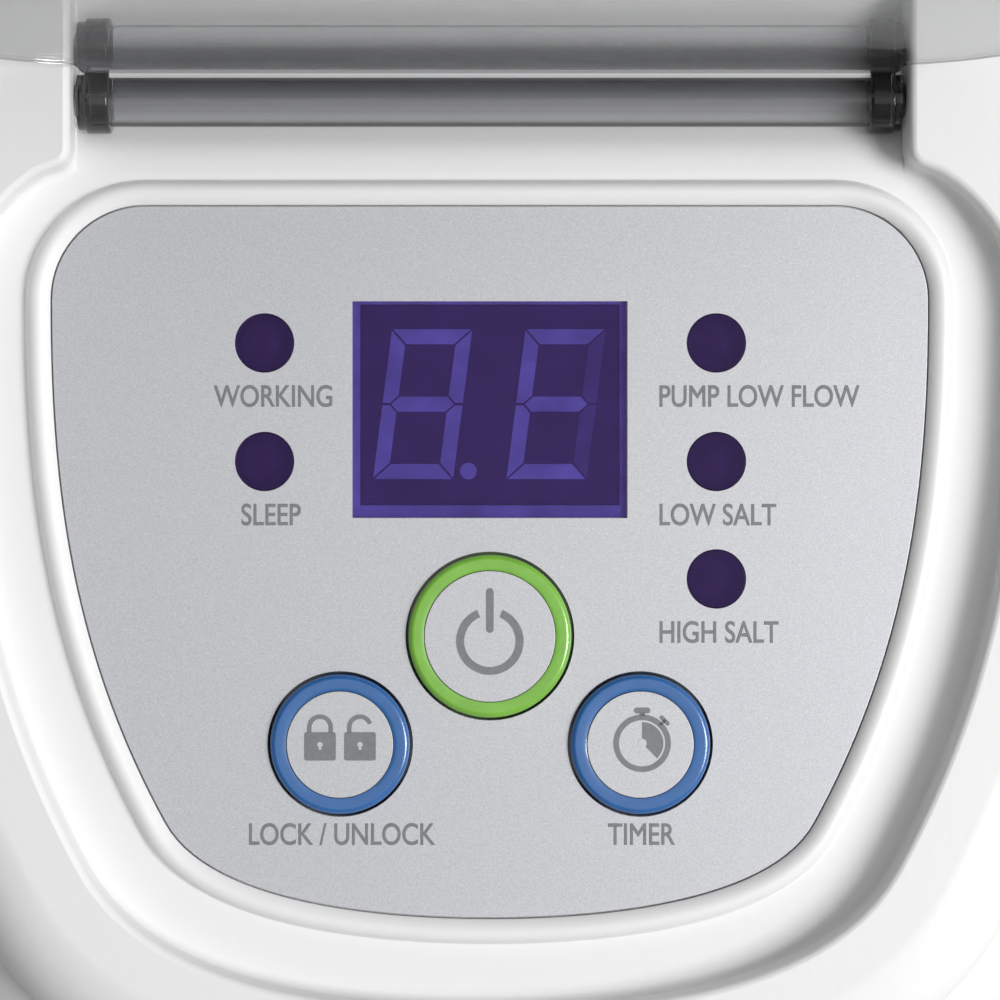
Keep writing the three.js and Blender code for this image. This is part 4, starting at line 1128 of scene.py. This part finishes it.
def segment_outlines(left, foot):
    """The seven bars of one digit, as slanted six-sided or four-sided outlines."""
    gap = 0.12
    half = DIGIT_HEIGHT / 2
    s = SEGMENT / 2
    inner = DIGIT_WIDTH - SEGMENT
    bars = []
    for level, cut in ((0, 1), (DIGIT_HEIGHT - SEGMENT, -1)):
        low, high = level, level + SEGMENT
        wide, narrow = (low, high) if cut > 0 else (high, low)
        bars.append([(gap, wide), (DIGIT_WIDTH - gap, wide)])
        bars[-1] += [(inner - gap, narrow), (SEGMENT + gap, narrow)]
    bars.append([(s + gap, half), (SEGMENT + gap, half - s), (inner - gap, half - s)])
    bars[-1] += [(DIGIT_WIDTH - s - gap, half), (inner - gap, half + s), (SEGMENT + gap, half + s)]
    for flip_x in (False, True):
        for flip_y in (False, True):
            bar = [(0, gap), (SEGMENT, SEGMENT + gap), (SEGMENT, half - s - gap)]
            bar += [(s, half - gap), (0, half - gap)]
            if flip_x:
                bar = [(DIGIT_WIDTH - x, y) for x, y in bar]
            if flip_y:
                bar = [(x, DIGIT_HEIGHT - y) for x, y in bar]
            bars.append(bar)
    return [[(left + x + y * SLANT, foot + y) for x, y in bar] for bar in bars]


def build_display():
    low, high = -13.8, -5.1
    width, foot, top = DISPLAY_SEAT
    body = block((-width, WINDOW_CENTRE_V - foot, low), (width, WINDOW_CENTRE_V + top, high), bevel=0.2)
    piece("display_block", body, PANEL, MODULE_BLACK, "root", ["display_module"])
    foot = WINDOW_CENTRE_V - DIGIT_HEIGHT / 2 + 0.55
    for digit in range(2):
        left = DIGIT_LEFT + digit * DIGIT_PITCH
        for k, points in enumerate(segment_outlines(left, foot)):
            faint = digit == 1 and k in FAINT_BARS
            bar = plate(points, high - 0.02, high + 0.05)
            finish = SEGMENT_FAINT if faint else SEGMENT_GREY
            piece(f"digit_{digit + 1}_bar_{k + 1}", bar, PANEL, finish)
    dot = rod("z", 0.8, high - 0.02, high + 0.05, (DIGIT_LEFT + DIGIT_WIDTH + 1.45, foot + 0.75), 32)
    piece("digit_1_dot", dot, PANEL, SEGMENT_GREY)


CAP_HEIGHT = 2.1
CAP_SHARE = 0.729  # of the face's size
CONDENSED = 0.80
INK_THICK = 0.03
LEGENDS = [
    ("WORKING", "working", "CENTER", 0.9),
    ("SLEEP", "sleep", "CENTER", 0.6),
    ("PUMP LOW FLOW", "low_flow", "LEFT", -5.5),
    ("LOW SALT", "low_salt", "LEFT", -5.5),
    ("HIGH SALT", "high_salt", "LEFT", -5.5),
]
KEY_LEGENDS = [("LOCK / UNLOCK", "lock"), ("TIMER", "timer")]


def add_legend(name, text, place, align):
    """A word of ink on the label, set in the built-in face and condensed."""
    curve = bpy.data.curves.new(name, "FONT")
    curve.body = text
    curve.align_x = align
    curve.size = CAP_HEIGHT / CAP_SHARE
    curve.extrude = INK_THICK / 4
    curve.bevel_depth = 0.035
    curve.bevel_resolution = 0
    source = bpy.data.objects.new(name, curve)
    scene.collection.objects.link(source)
    bpy.context.view_layer.update()
    mesh = bpy.data.meshes.new_from_object(source.evaluated_get(bpy.context.evaluated_depsgraph_get()))
    bpy.data.objects.remove(source)
    squeeze = Matrix.Diagonal((CONDENSED, 1, 1, 1))
    mesh.transform(PANEL @ Matrix.Translation((*place, LABEL_FACE + INK_THICK / 2)) @ squeeze)
    made = bpy.data.objects.new(name, mesh)
    scene.collection.objects.link(made)
    finished(made, INK)


def build_legends():
    for text, lamp, align, shift in LEGENDS:
        u, v = LAMP_AT[lamp]
        add_legend("legend_" + lamp, text, (u + shift, v - 6.0), align)
    for text, key in KEY_LEGENDS:
        u, v = BUTTON_AT[key]
        add_legend("legend_" + key, text, (u + 0.1, v - 9.5), "CENTER")


# ---- keys ----

KEY_FACE = -3.0
KEY_ROUND = 0.55
DISC_SEAT = -3.9


def key_profile(radius, disc):
    """A key from its stem and flange up to its rounded ring and the seat of its disc."""
    flange = radius + 1.1
    profile = [(0, -9.8), (1.8, -9.8), (1.8, -8.9), (flange, -8.9), (flange, -7.7), (radius, -7.7)]
    profile += [(radius, KEY_FACE - 0.75)]
    profile += arc((radius - KEY_ROUND, KEY_FACE - 0.75), KEY_ROUND, 15, 90, 6)
    profile += [(radius - 1.0, KEY_FACE - 0.24), (disc + 0.35, KEY_FACE - 0.24)]
    return profile + [(disc + 0.1, KEY_FACE - 0.3), (disc + 0.1, DISC_SEAT), (0, DISC_SEAT)]


def build_keys():
    for name, (radius, disc) in BUTTONS.items():
        at = BUTTON_AT[name]
        place = PANEL @ Matrix.Translation((*at, 0))
        colour, slot = (GREEN, "ring_green") if name == "power" else (BLUE, "ring_blue")
        bm = turned(key_profile(radius, disc), 96, axis=(0, 0, 1), start=(1, 0, 0))
        piece(f"{name}_key_ring", bm, place, colour, name + "_button", [name + "_button"])
        top = KEY_FACE - 0.22
        face = rod("z", disc + 0.02, KEY_FACE - 0.6, top, (0, 0), 96, bevel=0.05)
        node = name + "_button_disc"
        piece(f"{name}_key_face", face, place, SILVER, name + "_button", [node])
        for k, points in enumerate(ICONS[name]()):
            bar = plate(points, top - 0.01, top + INK_THICK)
            piece(f"{name}_key_mark_{k + 1}", bar, place, INK, name + "_button")
        for k, (centre, hole_radius) in enumerate(HOLES_IN_MARKS[name]):
            spot = rod("z", hole_radius, top, top + INK_THICK + 0.006, centre, 24)
            piece(f"{name}_key_spot_{k + 1}", spot, place, SILVER, name + "_button")


def arc_band(centre, outer, width, start, end, steps=40):
    """A curved stroke between two angles, as one outline."""
    return arc(centre, outer, start, end, steps) + arc(centre, outer - width, end, start, steps)


def capsule(start, end, half_width):
    """A straight stroke with round ends."""
    along = (Vector(end) - Vector(start)).normalized()
    angle = math.degrees(math.atan2(along.y, along.x))
    far_end = arc(end, half_width, angle - 90, angle + 90, 10)
    return far_end + arc(start, half_width, angle + 90, angle + 270, 10)


def power_mark():
    return [arc_band((0, -0.45), 3.18, 0.75, 112, 428), capsule((0, 0.7), (0, 4.2), 0.36)]


def padlock(left, is_open):
    """A padlock's body, and its bow, which ends in the air when it is open."""
    width, height = 2.98, 2.68
    bow_r, stroke, leg = 1.22, 0.42, 0.45
    low, top = -1.5, height - 1.5
    right = left + width
    body = rounded([(left, low), (right, low), (right, top), (left, top)], [0.25] * 4)
    foot = top - 0.05
    middle = left + width / 2
    centre = (middle, top + leg)
    start, end = (middle - bow_r, foot), (middle - bow_r + stroke, foot)
    if is_open:
        return [body, [start] + arc_band(centre, bow_r, stroke, 180, 20, 24) + [end]]
    bow = [start] + arc(centre, bow_r, 180, 0, 24) + [(middle + bow_r, foot)]
    bow += [(middle + bow_r - stroke, foot)] + arc(centre, bow_r - stroke, 0, 180, 24) + [end]
    return [body, bow]


def lock_marks():
    return padlock(-3.35, False) + padlock(0.42, True)


def timer_marks():
    centre = (0.15, 0.13)
    pie = [centre] + arc(centre, 2.0, 90, -45, 24)
    crown = capsule((-0.35, 3.22), (0.65, 3.22), 0.28)
    stem = [(-0.1, 2.7), (0.4, 2.7), (0.4, 3.0), (-0.1, 3.0)]
    side = capsule((2.0, 2.55), (2.55, 2.0), 0.2)
    stalk = capsule((1.9, 1.9), (2.25, 2.25), 0.16)
    ring = [arc_band(centre, 2.71, 0.53, 90 + 180 * k, 270 + 180 * k) for k in range(2)]
    return ring + [pie, crown, stem, side, stalk]


# light spots on the marks: the middle and radius of each keyhole's two rounds and of the timer's hub
HOLES_IN_MARKS = {
    "power": [],
    "lock": [((-1.86, 0.0), 0.26), ((-1.86, -0.36), 0.14), ((1.91, 0.0), 0.26), ((1.91, -0.36), 0.14)],
    "timer": [((0.15, 0.13), 0.42)],
}
ICONS = {"power": power_mark, "lock": lock_marks, "timer": timer_marks}


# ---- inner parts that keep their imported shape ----


def finish_inner_parts():
    """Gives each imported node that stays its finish."""
    kept = {
        FITTING_GREY: ["cell_body", "flow_paddle"],
        FITTING_DARK: ["cell_cover", "flow_sensor"],
        RUBBER: ["cell_gasket", "union_seal_left", "union_seal_right"],
        TITANIUM: [f"electrode_plate_{k + 1}" for k in range(5)],
        STEEL: ["terminal_positive", "terminal_negative"],
        BOARD: ["control_board", "power_board"],
        MODULE_BLACK: ["power_switch", "lock_switch", "timer_switch"],
        IRON: ["transformer"],
        ALUMINIUM: ["heat_sink"],
        WIRE_RED: ["cell_lead_positive"],
        WIRE_BLACK: ["cell_lead_negative"],
        TRAY_GREY: ["electronics_shelf"],
    }
    for material, names in kept.items():
        for name in names:
            node = frame["nodes"][name]
            node.data.materials.clear()
            node.data.materials.append(material)


add_camera()
add_lights()
add_floor()
build_tower()
build_screws()
build_tray()
build_feet()
build_gland()
for side in (-1, 1):
    union_nut(side)
    hose_tail(side)
build_lid()
build_label()
build_windows()
build_leds()
build_display()
build_legends()
build_keys()
finish_inner_parts()
